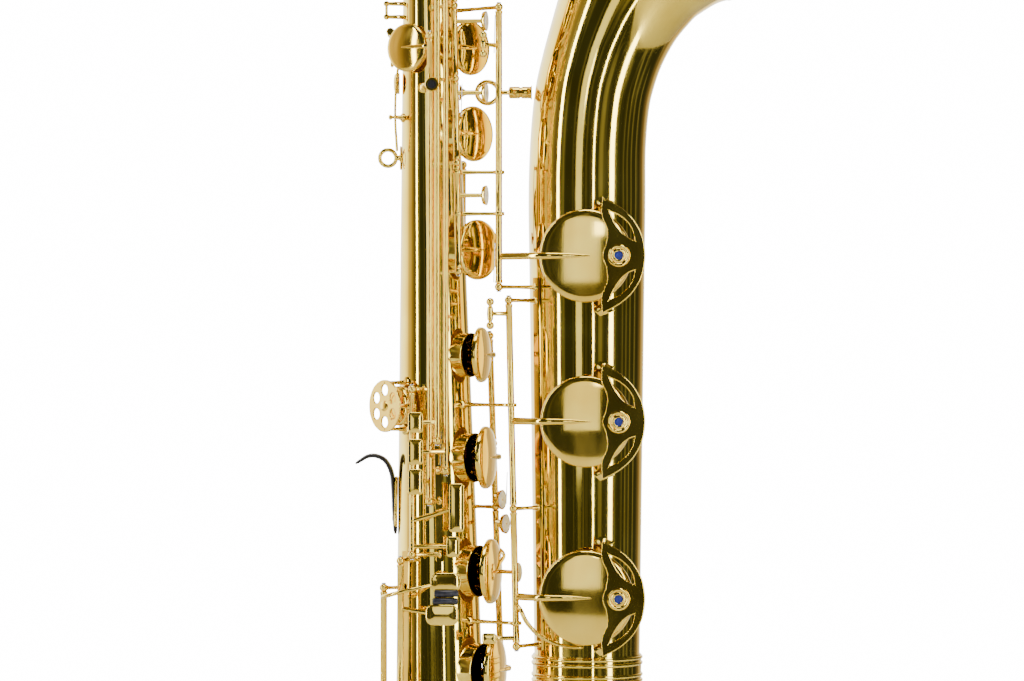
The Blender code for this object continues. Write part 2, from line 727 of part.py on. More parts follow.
def make_stack_keys():
    body = BODY_HOLES
    key("c_key", body["c_key"], LEFT_STACK, (179.6, 125.9), 150, 13, True, on_rod=True)
    key("b_key", body["b_key"], LEFT_STACK, (120.1, 65.9), 90, 13, True,
        pearl(LEFT_STACK, 110, (81, -41, 110)), True)
    key("a_key", body["a_key"], LEFT_STACK, (60.1, -3.1), 19, 13, True,
        pearl(LEFT_STACK, 51, (81, -41, 51)), True)
    key("g_key", body["g_key"], LEFT_STACK, (-8.9, -92.1), -77, 13, True,
        pearl(LEFT_STACK, -33, (81, -42, -33)), True)
    key("f_sharp_key", body["f_sharp_key"], RIGHT_STACK, (-150.9, -235.1), -164, 12, True, on_rod=True)
    key("f_key", body["f_key"], RIGHT_STACK, (-240.9, -288.1), -249, 12, True,
        pearl(RIGHT_STACK, -281, (88, -18, -284), RIGHT_PEARLS_FACE), True)
    key("e_key", body["e_key"], RIGHT_STACK, (-293.9, -329.8), -325, 12, True,
        pearl(RIGHT_STACK, -303, (91, -18, -304), RIGHT_PEARLS_FACE), True)
    key("d_key", body["d_key"], RIGHT_STACK, (-330.3, -433.1), -425, 12, True,
        pearl(RIGHT_STACK, -345, (103, -9, -345), RIGHT_PEARLS_FACE), True)


def make_side_keys():
    body = BODY_HOLES
    slim = SLIM_TUBE_R
    key("side_b_flat_key", body["side_b_flat_key"], SIDE_LOW, (95.6, -281.1), 90, 10, False,
        paddle(SIDE_LOW, -267, (24.5, -59, -267.5), (12.5, 21, 2.4)), radius=slim)
    key("side_c_key", body["side_c_key"], SIDE_MID, (168.1, -256.1), 160, 8, False,
        paddle(SIDE_MID, -243, (24.5, -59, -243), (12.5, 21, 2.4)), radius=slim)
    key("high_e_key", body["high_e_key"], SIDE_HIGH, (213.1, -231.1), 205, 8, False,
        paddle(SIDE_HIGH, -221, (24.5, -59, -219), (12.5, 17, 2.4)), radius=slim)
    key("trill_f_sharp_key", body["trill_f_sharp_key"], TRILL, (-194.9, -325.1), -206, 10, False,
        paddle(TRILL, -321, (55, -51, -321), (11, 17, 2.4))
        + paddle(TRILL, -300, (58, -52, -289), (12.5, 40, 2.4)), radius=slim)
    key("g_sharp_key", body["g_sharp_key"], G_SHARP, (-6.9, -73.1), -40, 10, False,
        paddle(G_SHARP, -66, (76, 40, -66), (14, 10, 2.4), (), (1, 0, 0), (0, 0, 1)))
    for name, z in (("palm_d_key", 195), ("palm_e_flat_key", 243), ("palm_f_key", 290)):
        low = {"palm_d_key": 174.9, "palm_e_flat_key": 221.9, "palm_f_key": 269.4}[name]
        high = {"palm_d_key": 216.1, "palm_e_flat_key": 263.6, "palm_f_key": 311.1}[name]
        touch = paddle(PALM, low + 12, (-12, 22, low + 12), (2.6, 20, 15), (), (1, 0, 0), (0, 0, 1))
        key(name, body[name], PALM, (high, low), z, 10, False, touch, radius=slim)


def make_low_keys():
    key("low_a_key", BELL_HOLES["low_a_key"], BELL_HIGH, (118.6, -105.1), -83, 9, True,
        paddle(BELL_HIGH, 90, (82, -60, 90), (7, 22, 4)), True)
    key("low_b_flat_key", BELL_HOLES["low_b_flat_key"], BELL_LOW, (-121.9, -287.1), -218, 9, True,
        paddle(BELL_LOW, -130, (87, -56, -130), (7, 26, 4)), True)
    key("low_b_key", BELL_HOLES["low_b_key"], BELL_LOW, (-292.9, -400.1), -362, 9, True,
        paddle(BELL_LOW, -396, (86, -55, -396), (12, 9, 2.6)), True)
    key("low_c_key", LOW_C_HOLE, PINKY_NEAR, (-335.9, -521.1), -503, 9, True,
        paddle(PINKY_NEAR, -372, (48, -51, -376.5), (27, 17, 3)), via=((17, -55, -522),))
    key("e_flat_key", BODY_HOLES["e_flat_key"], PINKY_FAR, (-358.9, -526.1), -500, 9, False,
        paddle(PINKY_FAR, -364, (49, -52, -350), (25, 15.5, 3), ((-1, -44, -362), (16, -53, -357))))


def make_small_keys():
    """The thumb octave lever, the octave key on the neck, and the water key."""
    tube = rod("thumb_octave_lever", (2.5, -11.3, 104), (2.5, 11.3, 104), 2.8, 8)
    plate = block("plate", (3.6, 0, 90), (2.6, 28, 15), (1, 0, 0), (0, 0, 1))
    lever = node("thumb_octave_lever", [tube, plate], origin=(2.5, 0, 104))
    set_joint(lever, (2.5, 0, 104), (0, 1, 0), 0, 8)
    tube = rod("neck_octave_key", (15, 27.4, 463.4), (15, 40.6, 463.4), 2.4, 10)
    arm = sweep("arm", [Vector((15, 34, 463.6)), Vector((30, 34, 464.2)), Vector((43, 34, 460.4))],
                [1.6, 1.6, 1.4], 6)
    pad_cup = rod("pad_cup", (42, 34, 458.6), (42, 34, 461.2), 5.2, 12)
    tail = sweep("tail", [Vector((15, 34, 463.6)), Vector((4, 34, 467)), Vector((-8, 34, 468))],
                 [1.6, 1.8, 1.8], 6)
    octave = node("neck_octave_key", [tube, arm, pad_cup, tail], origin=(15, 34, 463.4))
    set_joint(octave, (15, 34, 463.4), (0, -1, 0), 0, 8)
    middle, away, along = water_key_frame()
    pivot = middle + away * 22.5 - Vector((0, 0, 4))
    low = Vector((93, 17, 240 - 24.8 - 13.9 - GAP))
    tube = rod("water_key", pivot - along * 5.3, pivot + along * 5.3, 2.4, 10)
    arm = sweep("arm", [pivot, pivot - away * 10 - Vector((0, 0, 9.5)), low - Vector((0, 0, 2.0)) - away * 3],
                [1.6, 1.6, 1.6], 6)
    pad_cup = rod("pad_cup", low, low - Vector((0, 0, 2.6)), 5.5, 12)
    tail = sweep("tail", [pivot, pivot + away * 12 + Vector((0, 0, 3))], [1.6, 2.2], 6)
    water = node("water_key", [tube, arm, pad_cup, tail], origin=pivot)
    set_joint(water, pivot, -along, 0, 20)


def set_joint(item, point, axis, low, high):
    item["joint_point_m"] = list(Vector(point) * UNIT)
    item["joint_axis"] = list(Vector(axis).normalized())
    item["joint_range_deg"] = [float(low), float(high)]


def make_rods():
    for name, line, top, bottom in (("left_stack_rod", LEFT_STACK, 187, -99.5),
                                    ("right_stack_rod", RIGHT_STACK, -144, -440),
                                    ("bell_rod_high", BELL_HIGH, 125, -111.5),
                                    ("bell_rod_low", BELL_LOW, -115.4, -406.5)):
        finish(rod(name, line.at(top), line.at(bottom), ROD_R, 8), "steel")


def main():
    clear_scene()
    make_body_tube()
    make_bell()
    make_bow()
    make_bow_foot()
    band("bell_bow_ferrule", (BELL_X, 0, BELL_BOTTOM - 0.5), (0, 0, 1), BELL_BOTTOM_RADIUS + 0.9, 24, 2.0)
    band("body_bow_ferrule", body_axis(BODY_BOTTOM - 0.5), (0, 0, 1), body_radius(BODY_BOTTOM) + 0.9, 20, 2.0)
    make_pigtail()
    make_neck()
    make_strap_ring()
    make_thumb_hook()
    make_bell_brace()
    make_main_rib()
    make_right_rib()
    make_bell_rib()
    make_pinky_rib()
    make_far_ribs()
    make_octave_mounts()
    make_guards()
    make_rods()
    make_stack_keys()
    make_side_keys()
    make_low_keys()
    make_small_keys()


main()
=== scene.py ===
"""The looks of the baritone saxophone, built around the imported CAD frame.

Lengths are in millimetres and are turned into metres when a mesh is made. The tubes, holes and
hinge lines repeat the driving dimensions of the CAD model, in the same frame: origin at the
strap ring, +X towards the bell, -Y the player's right side, +Z up.
"""
import json
from math import cos, pi, radians, sin, sqrt

import bmesh
import bpy
from mathutils import Matrix, Vector


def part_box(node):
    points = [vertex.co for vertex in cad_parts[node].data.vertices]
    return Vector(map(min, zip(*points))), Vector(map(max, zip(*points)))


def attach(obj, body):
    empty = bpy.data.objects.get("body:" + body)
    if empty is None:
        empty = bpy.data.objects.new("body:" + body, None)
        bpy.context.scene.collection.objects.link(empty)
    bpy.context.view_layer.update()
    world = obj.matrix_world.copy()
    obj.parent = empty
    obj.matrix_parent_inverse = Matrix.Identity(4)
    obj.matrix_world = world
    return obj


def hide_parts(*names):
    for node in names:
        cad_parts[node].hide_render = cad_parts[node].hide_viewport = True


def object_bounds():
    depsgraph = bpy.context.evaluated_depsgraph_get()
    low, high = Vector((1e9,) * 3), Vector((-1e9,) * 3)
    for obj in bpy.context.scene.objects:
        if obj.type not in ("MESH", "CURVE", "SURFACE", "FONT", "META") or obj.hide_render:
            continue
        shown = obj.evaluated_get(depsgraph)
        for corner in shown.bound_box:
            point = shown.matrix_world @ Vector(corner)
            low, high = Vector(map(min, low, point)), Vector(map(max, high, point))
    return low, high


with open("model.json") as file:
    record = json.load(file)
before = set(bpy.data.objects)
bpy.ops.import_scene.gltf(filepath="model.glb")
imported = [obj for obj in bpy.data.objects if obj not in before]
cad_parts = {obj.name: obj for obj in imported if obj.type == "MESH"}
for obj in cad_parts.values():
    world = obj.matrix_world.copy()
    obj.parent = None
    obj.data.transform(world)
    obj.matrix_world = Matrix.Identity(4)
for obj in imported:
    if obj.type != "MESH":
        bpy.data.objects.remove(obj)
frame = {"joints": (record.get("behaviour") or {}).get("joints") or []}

CAD_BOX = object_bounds()
UNIT = 0.001
ROOT = "instrument"
X = Vector((1, 0, 0))
Y = Vector((0, 1, 0))
Z = Vector((0, 0, 1))
JOINTS = {j["child"]: j for j in frame["joints"]}

BODY_TOP = 330.0
BODY_BOTTOM = -545.0
BELL_X = 165.8
BELL_BOTTOM = -424.0
BELL_LEAN = radians(38)
BELL_AXIS = ((165.8, -35, 48.8), (166.6, 10, 48.3), (170, 48, 48.2), (175.5, 73, 48.4),
             (183, 97, 49.6), (193.5, 123, 53.0), (205, 145, 58.0), (215.5, 164, 67.0), (225, 183, 81.0))
BELL_BOTTOM_RADIUS = 43.8
BOW_Z = -600.0
BOW_TOP_RADIUS = 39.0
WALL = 0.9
PEARL_FACING = Vector((0.8, -0.6, 0))
BOSS_OUT = 24.0
GUARD_STAND = 25.5
CHIMNEY = 6.0
SEAT = 0.4
STACK_ANGLE = -28
SIDE_ANGLE = -125
TRILL_ANGLE = -142
PALM_ANGLE = 112
POST_SEAT = 1.8


# ---------------------------------------------------------------- materials

def new_material(name, colour, metallic=0.0, roughness=0.5, coat=0.0):
    made = bpy.data.materials.new(name)
    made.use_nodes = True
    shader = made.node_tree.nodes["Principled BSDF"]
    shader.inputs["Base Color"].default_value = (*colour, 1)
    shader.inputs["Metallic"].default_value = metallic
    shader.inputs["Roughness"].default_value = roughness
    shader.inputs["Coat Weight"].default_value = coat
    shader.inputs["Coat Roughness"].default_value = 0.04
    return made, made.node_tree, shader


def add_node(tree, kind, **values):
    made = tree.nodes.new(kind)
    for key, value in values.items():
        if key in made.inputs:
            made.inputs[key].default_value = value
        else:
            setattr(made, key, value)
    return made


def object_noise(tree, scale, detail=3.0, stretch=(1, 1, 1)):
    """Noise in the object's own space, so that it stays with the piece."""
    where = add_node(tree, "ShaderNodeTexCoord")
    mapping = add_node(tree, "ShaderNodeMapping")
    mapping.inputs["Scale"].default_value = stretch
    noise = add_node(tree, "ShaderNodeTexNoise", Scale=scale, Detail=detail)
    tree.links.new(where.outputs["Object"], mapping.inputs["Vector"])
    tree.links.new(mapping.outputs["Vector"], noise.inputs["Vector"])
    return noise


def ramp(tree, source, low, high, start=0.35, end=0.65):
    """Turns a noise value into a blend between two colours."""
    made = add_node(tree, "ShaderNodeValToRGB")
    made.color_ramp.elements[0].position = start
    made.color_ramp.elements[1].position = end
    made.color_ramp.elements[0].color = (*low, 1)
    made.color_ramp.elements[1].color = (*high, 1)
    tree.links.new(source, made.inputs["Fac"])
    return made.outputs["Color"]


def spread(tree, source, low, high):
    """Turns a noise value into a number between low and high."""
    made = add_node(tree, "ShaderNodeMapRange")
    made.inputs["From Min"].default_value = 0.3
    made.inputs["From Max"].default_value = 0.7
    made.inputs["To Min"].default_value = low
    made.inputs["To Max"].default_value = high
    tree.links.new(source, made.inputs["Value"])
    return made.outputs["Result"]


def bump(tree, shader, source, strength, distance):
    made = add_node(tree, "ShaderNodeBump", Strength=strength, Distance=distance)
    tree.links.new(source, made.inputs["Height"])
    tree.links.new(made.outputs["Normal"], shader.inputs["Normal"])


def lacquered_brass(name, deep, bright, rough):
    """Polished brass under clear lacquer: faint tint clouds, fine hairlines and soft smears."""
    made, tree, shader = new_material(name, bright, 1.0, rough, 0.35)
    tint = object_noise(tree, 22.0, 2.0)
    tree.links.new(ramp(tree, tint.outputs["Fac"], deep, bright), shader.inputs["Base Color"])
    smear = object_noise(tree, 60.0, 4.0, (1, 1, 0.4))
    tree.links.new(spread(tree, smear.outputs["Fac"], rough * 0.7, rough * 1.5), shader.inputs["Roughness"])
    hairline = object_noise(tree, 900.0, 2.0, (1, 1, 0.05))
    bump(tree, shader, hairline.outputs["Fac"], 0.03, 0.0002)
    return made


def finish(name, base, noise, tint=None, rough=None, grain=None, sheen=0.0):
    """A material in which one noise drives the tint, the roughness and the relief, where they are given."""
    made, tree, shader = new_material(name, *base)
    source = object_noise(tree, *noise).outputs["Fac"]
    if rough:
        tree.links.new(spread(tree, source, *rough), shader.inputs["Roughness"])
    if tint:
        tree.links.new(ramp(tree, source, *tint), shader.inputs["Base Color"])
    if grain:
        bump(tree, shader, source, *grain)
    if sheen:
        shader.inputs["Sheen Weight"].default_value = sheen
    return made


def plastic_material():
    made, tree, shader = new_material("black_plastic", (0.008, 0.008, 0.010), 0.0, 0.28)
    shader.inputs["Specular IOR Level"].default_value = 0.3
    haze = object_noise(tree, 120.0, 4.0)
    tree.links.new(spread(tree, haze.outputs["Fac"], 0.22, 0.40), shader.inputs["Roughness"])
    bump(tree, shader, object_noise(tree, 1200.0).outputs["Fac"], 0.05, 0.0002)
    return made


BRASS = lacquered_brass("tube_brass", (0.77, 0.555, 0.065), (0.88, 0.675, 0.11), 0.06)
KEY_BRASS = lacquered_brass("key_brass", (0.82, 0.55, 0.06), (0.92, 0.67, 0.105), 0.07)
STEEL = finish("blued_steel", ((0.55, 0.55, 0.56), 1.0, 0.22), (500.0, 2.0, (1, 1, 6)),
               ((0.42, 0.42, 0.44), (0.68, 0.68, 0.68)), grain=(0.08, 0.0002))
LEATHER = finish("pad_leather", ((0.30, 0.12, 0.045), 0.0, 0.42, 0.1), (700.0, 6.0),
                 ((0.17, 0.06, 0.02), (0.38, 0.16, 0.06)), grain=(0.35, 0.0006))
FELT = finish("blue_felt", ((0.010, 0.016, 0.20), 0.0, 0.95), (1500.0, 8.0),
              ((0.004, 0.007, 0.09), (0.02, 0.04, 0.34)), grain=(0.7, 0.0008), sheen=0.3)
PLASTIC = plastic_material()
EBONITE = finish("ebonite", ((0.012, 0.011, 0.011), 0.0, 0.16, 0.3), (90.0, 4.0),
                 ((0.009, 0.009, 0.009), (0.022, 0.019, 0.016)), rough=(0.10, 0.24))
PEARL = finish("pearl", ((0.88, 0.83, 0.72), 0.0, 0.18, 0.6), (260.0, 5.0, (1, 0.4, 1)),
               ((0.72, 0.66, 0.55), (0.93, 0.90, 0.84)))
CORK = finish("cork", ((0.55, 0.35, 0.18), 0.0, 0.85), (420.0, 8.0),
              ((0.30, 0.17, 0.08), (0.66, 0.45, 0.26)), grain=(0.5, 0.0006))
CANE = finish("cane", ((0.74, 0.58, 0.30), 0.0, 0.55), (900.0, 4.0, (0.04, 1, 1)),
              ((0.55, 0.40, 0.18), (0.84, 0.70, 0.42)), grain=(0.2, 0.0003))
ROLLER = finish("roller_dark", ((0.010, 0.011, 0.020), 0.0, 0.3), (300.0, 4.0),
                ((0.006, 0.006, 0.010), (0.018, 0.020, 0.036)))


# ---------------------------------------------------------------- shapes

def joined(*shapes):
    points, faces = [], []
    for some_points, some_faces in shapes:
        base = len(points)
        points += some_points
        faces += [tuple(i + base for i in f) for f in some_faces]
    return points, faces


def turns(count):
    """Angles spread evenly round a circle."""
    return [2 * pi * k / count for k in range(count)]


def ring(centre, along, radius, sides, hint=None, flat=1.0):
    along = Vector(along).normalized()
    hint = hint or (Y if abs(along.y) < 0.75 else X)
    u = (hint - along * hint.dot(along)).normalized()
    v = along.cross(u)
    return [Vector(centre) + u * (radius * cos(t)) + v * (radius * flat * sin(t)) for t in turns(sides)]


def skin(rings, capped=True, loop=False):
    sides = len(rings[0])
    count = len(rings)
    points = [p for r in rings for p in r]
    faces = []
    for i in range(count if loop else count - 1):
        a = i * sides
        b = (i + 1) % count * sides
        faces += [(a + j, a + (j + 1) % sides, b + (j + 1) % sides, b + j) for j in range(sides)]
    if capped and not loop:
        faces.append(tuple(reversed(range(sides))))
        faces.append(tuple(range((count - 1) * sides, count * sides)))
    return points, faces


def headings(points):
    ends = [points[0], *points, points[-1]]
    return [(Vector(ends[i + 2]) - Vector(ends[i])).normalized() for i in range(len(points))]


def smooth_path(points, steps=6):
    """A Catmull-Rom curve through the points."""
    pts = [Vector(p) for p in points]
    pts = [pts[0] * 2 - pts[1], *pts, pts[-1] * 2 - pts[-2]]
    made = []
    for i in range(1, len(pts) - 2):
        a, b, c, d = pts[i - 1:i + 3]
        for k in range(steps):
            t = k / steps
            made.append(0.5 * ((2 * b) + (c - a) * t + (2 * a - 5 * b + 4 * c - d) * t * t
                               + (3 * b - a - 3 * c + d) * t * t * t))
    made.append(pts[-2])
    return made


def wire(points, radii, sides=14, flat=1.0, hint=None, steps=6):
    """A rod along a smooth path, with radii spread along it and rounded ends."""
    path = smooth_path(points, steps) if len(points) > 2 else [Vector(p) for p in points]
    hint = hint or (Y if abs((path[-1] - path[0]).normalized().y) < 0.75 else X)
    count = len(path)
    rings = []
    for i, (p, d) in enumerate(zip(path, headings(path))):
        where = i / (count - 1) * (len(radii) - 1)
        k = min(int(where), len(radii) - 2)
        r = radii[k] + (radii[k + 1] - radii[k]) * (where - k)
        rings.append(ring(p, d, r, sides, hint, flat))
    first, last = headings(path)[0], headings(path)[-1]
    for share, back in ((0.86, 0.5), (0.5, 0.86)):
        rings.insert(0, ring(path[0] - first * (radii[0] * back), first, radii[0] * share, sides, hint, flat))
        rings.append(ring(path[-1] + last * (radii[-1] * back), last, radii[-1] * share, sides, hint, flat))
    return skin(rings)


def turned(profile, origin, axis, sides=32, loop=False):
    """A lathe shape: profile is (distance along the axis, radius)."""
    axis = Vector(axis).normalized()
    rings = [ring(Vector(origin) + axis * h, axis, max(r, 0.02), sides) for h, r in profile]
    return skin(rings, loop=loop)


def slab(centre, size, across=X, up=Z, edge=0.5, corner=2.0, crown=0.0):
    """A rounded plate: size is (along across, along up, thickness), with its front crowned."""
    u = Vector(across).normalized()
    v = Vector(up).normalized()
    w = u.cross(v)
    a, b, c = (s / 2 for s in size)
    corner = min(corner, a * 0.98, b * 0.98)

    def outline(inset):
        made = []
        r = max(corner - inset, 0.2)
        for k, (sx, sy) in enumerate(((1, 1), (-1, 1), (-1, -1), (1, -1))):
            for step in range(5):
                t = radians(90 * k + 90 * step / 4)
                made.append((sx * (a - inset - r) + r * cos(t), sy * (b - inset - r) + r * sin(t)))
        return made

    levels = [(-c, edge), (-c + edge * 0.35, edge * 0.35), (-c + edge, 0), (c - edge, 0),
              (c - edge * 0.35, edge * 0.35), (c, edge)]
    if crown:
        levels += [(c + crown * k / 3, edge + (min(a, b) - edge) * (1 - sqrt(1 - k / 3)) * 0.9)
                   for k in (1, 2, 3)]
    return skin([[Vector(centre) + u * x + v * y + w * h for x, y in outline(inset)] for h, inset in levels])


def hoop(centre, points, axis, thick, sides=14):
    """A ring with a round section, which runs through the points about its centre."""
    rings = []
    for p in points:
        away = (p - Vector(centre)).normalized()
        rings.append([p + (away * cos(t) + axis * sin(t)) * thick for t in turns(sides)])
    return skin(rings, loop=True)


def solid_mesh(name, some_shape):
    """A mesh in metres with its faces turned outward."""
    points, faces = some_shape
    mesh = bpy.data.meshes.new(name)
    mesh.from_pydata([p * UNIT for p in points], [], faces)
    work = bmesh.new()
    work.from_mesh(mesh)
    bmesh.ops.recalc_face_normals(work, faces=work.faces)
    work.to_mesh(mesh)
    work.free()
    return mesh


def linked(name, data):
    made = bpy.data.objects.new(name, data)
    bpy.context.collection.objects.link(made)
    return made


def applied(thing, name, material):
    """The mesh that an object evaluates to, in one material; the object itself goes."""
    bpy.context.view_layer.update()
    mesh = bpy.data.meshes.new_from_object(thing.evaluated_get(bpy.context.evaluated_depsgraph_get()))
    bpy.data.objects.remove(thing)
    mesh.name = name
    mesh.materials.clear()
    mesh.materials.append(material)
    mesh.shade_smooth()
    return mesh


def settle(name, mesh, body=ROOT, replaces=()):
    """Puts a finished mesh in the scene, where it rides on its body."""
    made = linked(name, mesh)
    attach(made, body)
    if replaces:
        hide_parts(*replaces)
    return made


def build(name, some_shape, material, body=ROOT, replaces=(), angle=40):
    """Makes a piece, gives it its finish and lets it ride on its body."""
    mesh = solid_mesh(name, some_shape)
    mesh.shade_smooth()
    mesh.set_sharp_from_angle(angle=radians(angle))
    mesh.materials.append(material)
    return settle(name, mesh, body, replaces)


# ---------------------------------------------------------------- the two tubes and their holes

def out(angle):
    return Vector((cos(radians(angle)), sin(radians(angle)), 0))


def body_axis(z):
    return Vector((36.3 - 0.0155 * z, 0, z))


def body_radius(z):
    return 25.04 - 0.02543 * z


def on_body(z, angle, height=0.0):
    return body_axis(z) + out(angle) * (body_radius(z) + height)


def bell_radius(z):
    share = (z - BELL_BOTTOM) / (BELL_AXIS[0][1] - BELL_BOTTOM)
    return BELL_BOTTOM_RADIUS + share * (BELL_AXIS[0][2] - BELL_BOTTOM_RADIUS)


def on_bell(z, angle, height=0.0):
    return Vector((BELL_X, 0, z)) + out(angle) * (bell_radius(z) + height)


class Hole:
    """A tone hole: rim centre, facing, hole radius and cup radius."""

    def __init__(self, rim, facing, hole_r, cup_r):
        self.rim = Vector(rim)
        self.facing = Vector(facing).normalized()
        self.hole_r = hole_r
        self.cup_r = cup_r


def body_hole(z, angle, hole_r, cup_r):
    return Hole(on_body(z, angle, CHIMNEY), out(angle), hole_r, cup_r)


def bell_hole(z, hole_r, cup_r):
    return Hole(on_bell(z, -90, CHIMNEY), (0, -1, 0), hole_r, cup_r)


BODY_HOLES = {
    "c_key": body_hole(150, STACK_ANGLE, 13.5, 20), "b_key": body_hole(90, STACK_ANGLE, 15, 22.5),
    "a_key": body_hole(19, STACK_ANGLE, 16.5, 23), "g_key": body_hole(-77, STACK_ANGLE, 18.5, 25),
    "f_sharp_key": body_hole(-164, STACK_ANGLE, 17.5, 23), "f_key": body_hole(-249, STACK_ANGLE, 19.5, 26),
    "e_key": body_hole(-343, STACK_ANGLE, 20.5, 27), "d_key": body_hole(-425, STACK_ANGLE, 21.5, 28),
    "e_flat_key": body_hole(-500, 176, 20, 26), "side_b_flat_key": body_hole(90, SIDE_ANGLE, 10, 20),
    "side_c_key": body_hole(160, SIDE_ANGLE, 8, 14), "high_e_key": body_hole(205, SIDE_ANGLE, 7, 13),
    "trill_f_sharp_key": body_hole(-206, TRILL_ANGLE, 11, 16.5),
              "palm_d_key": body_hole(195, PALM_ANGLE, 8, 13),
    "palm_e_flat_key": body_hole(243, PALM_ANGLE, 7.5, 12.5), "palm_f_key": body_hole(290, PALM_ANGLE, 7, 12),
    "g_sharp_key": body_hole(-40, 90, 14, 20)}
BELL_HOLES = {"low_a_key": bell_hole(-83, 31, 38), "low_b_flat_key": bell_hole(-218, 30.5, 37.5),
              "low_b_key": bell_hole(-362, 31.5, 39)}
LOW_C_HOLE = Hole((45.6, -39.8 - CHIMNEY, -597), (0, -1, 0), 22, 29)


def thin_tube(path, radii, sides=96, wall=WALL, hint=Y, aims=None):
    """Rings of a thin-walled open tube, outer skin first and then back along the inside."""
    aims = aims or headings(path)
    outer = [ring(p, d, r, sides, hint) for p, d, r in zip(path, aims, radii)]
    inner = [ring(p, d, r - wall, sides, hint) for p, d, r in zip(path, aims, radii)]
    return outer, inner


def closed_tube(outer, inner):
    return skin(outer + inner[::-1], loop=True)


def keep_normals(mesh, form_normal, limit=0.82):
    """Gives faces that follow the tube's own form that form's exact normals."""
    wanted = []
    auto = [tuple(v.vector) for v in mesh.corner_normals]
    for face in mesh.polygons:
        for index in face.loop_indices:
            corner = mesh.loops[index].vertex_index
            true = form_normal(mesh.vertices[corner].co / UNIT)
            if true is not None and abs(true.dot(face.normal)) > limit:
                wanted.append(tuple(true if true.dot(face.normal) > 0 else -true))
            else:
                wanted.append(auto[index])
    mesh.normals_split_custom_set(wanted)


def cut_tube(name, outer, inner, holes, depth, replaces, form_normal):
    """Cuts holes in a tube shell and lays its true normals back on it."""
    tube = linked(name, solid_mesh(name, closed_tube(outer, inner)))
    drills = joined(*[turned([(-depth, h.hole_r - 0.1), (4, h.hole_r - 0.1)], h.rim, h.facing,
                             48) for h in holes])
    tool = linked("drills", solid_mesh("drills", drills))
    cut = tube.modifiers.new("cut", "BOOLEAN")
    cut.operation = "DIFFERENCE"
    cut.object = tool
    mesh = applied(tube, name, BRASS)
    bpy.data.objects.remove(tool)
    mesh.set_sharp_from_angle(angle=radians(40))
    keep_normals(mesh, form_normal)
    settle(name, mesh, ROOT, replaces)


def body_normal(point):
    axis = body_axis(point.z)
    level = Vector((point.x - axis.x, point.y, 0)).normalized()
    return (level + Z * 0.0254).normalized()


def make_body():
    heights = [BODY_TOP + (BODY_BOTTOM - BODY_TOP) * i / 40 for i in range(41)]
    aims = [-Z] * len(heights)
    outer, inner = thin_tube([body_axis(z) for z in heights], [body_radius(z) for z in heights], aims=aims)
    cut_tube("body_tube_skin", outer, inner, BODY_HOLES.values(), 17, ["body_tube"], body_normal)


def bell_stations():
    """The bell's centre line and radii, rounded through its stations."""
    points = [Vector((BELL_X, 0, z)) for z in (BELL_BOTTOM, -330, -240, -150, -90)]
    radii = [bell_radius(p.z) for p in points]
    points += [Vector((x, 0, z)) for x, z, _ in BELL_AXIS]
    radii += [r for _, _, r in BELL_AXIS]
    path = smooth_path(points, 6)
    sizes = [p.x for p in smooth_path([Vector((r, 0, 0)) for r in radii], 6)]
    aims = headings(path)
    last = Vector((sin(BELL_LEAN), 0, cos(BELL_LEAN)))
    for i in range(1, 13):
        blend = (13 - i) / 12
        aims[-i] = (aims[-i] * (1 - blend) + last * blend).normalized()
    return path, sizes, aims


def make_bell():
    path, sizes, aims = bell_stations()
    sizes[-1] -= 1.5
    outer, inner = thin_tube(path, sizes, 128, aims=aims)

    def bell_normal(point):
        if point.z > -30:
            return None
        return Vector((point.x - BELL_X, point.y, 0)).normalized() - Z * 0.0128

    cut_tube("bell_skin", outer, inner, BELL_HOLES.values(), 22, ["bell"], bell_normal)
    last = aims[-1]
    side = last.cross(Y).normalized()
    middle = path[-1] - last * 1.6
    rim = [middle + (Y * cos(a) + side * sin(a)) * (sizes[-1] - 1.2) for a in turns(128)]
    build("bell_rolled_rim", hoop(middle, rim, last, 1.9, 12), BRASS)


def bow_path():
    left = body_axis(BODY_BOTTOM - 1)
    low_left = body_axis(BOW_Z)
    middle = (low_left.x + BELL_X) / 2
    reach = (BELL_X - low_left.x) / 2
    points = [left, left.lerp(Vector((low_left.x, 0, BOW_Z)), 0.5)]
    for i in range(37):
        a = radians(180 + 5 * i)
        points.append(Vector((middle + reach * cos(a), 0, BOW_Z + reach * sin(a))))
    points += [Vector((BELL_X, 0, z)) for z in (-560, -500, BELL_BOTTOM - 1)]
    total = 39 + 3
    radii = [BOW_TOP_RADIUS + (BELL_BOTTOM_RADIUS - BOW_TOP_RADIUS) * min(1, i / total)
             for i in range(len(points))]
    return points, radii


def make_bow():
    points, radii = bow_path()
    outer, inner = thin_tube(points, radii, 96)
    cut_tube("bow_skin", outer, inner, [LOW_C_HOLE], 22, ["bow"], lambda p: None)


def make_chimneys():
    """The raised rim of each tone hole, rolled at its edge and flared into its tube."""
    for name, hole in {**BODY_HOLES, **BELL_HOLES, "low_c_key": LOW_C_HOLE}.items():
        r = hole.hole_r
        depth = 19 if name in BELL_HOLES else 13
        if name in ("side_b_flat_key", "side_c_key", "high_e_key", "palm_d_key", "palm_e_flat_key",
                    "palm_f_key"):
            depth = 9
        profile = [(-depth, r - 0.1), (-0.6, r - 0.1), (-0.1, r + 0.1), (0, r + 0.5), (-0.15, r + 1.0),
                   (-0.8, r + 1.1), (-1.5, r + 0.9), (-depth, r + 0.8)]
        build(name.replace("_key", "") + "_chimney", turned(profile, hole.rim, hole.facing, 64, True), BRASS)


# ---------------------------------------------------------------- ferrules, loop, neck and mouthpiece

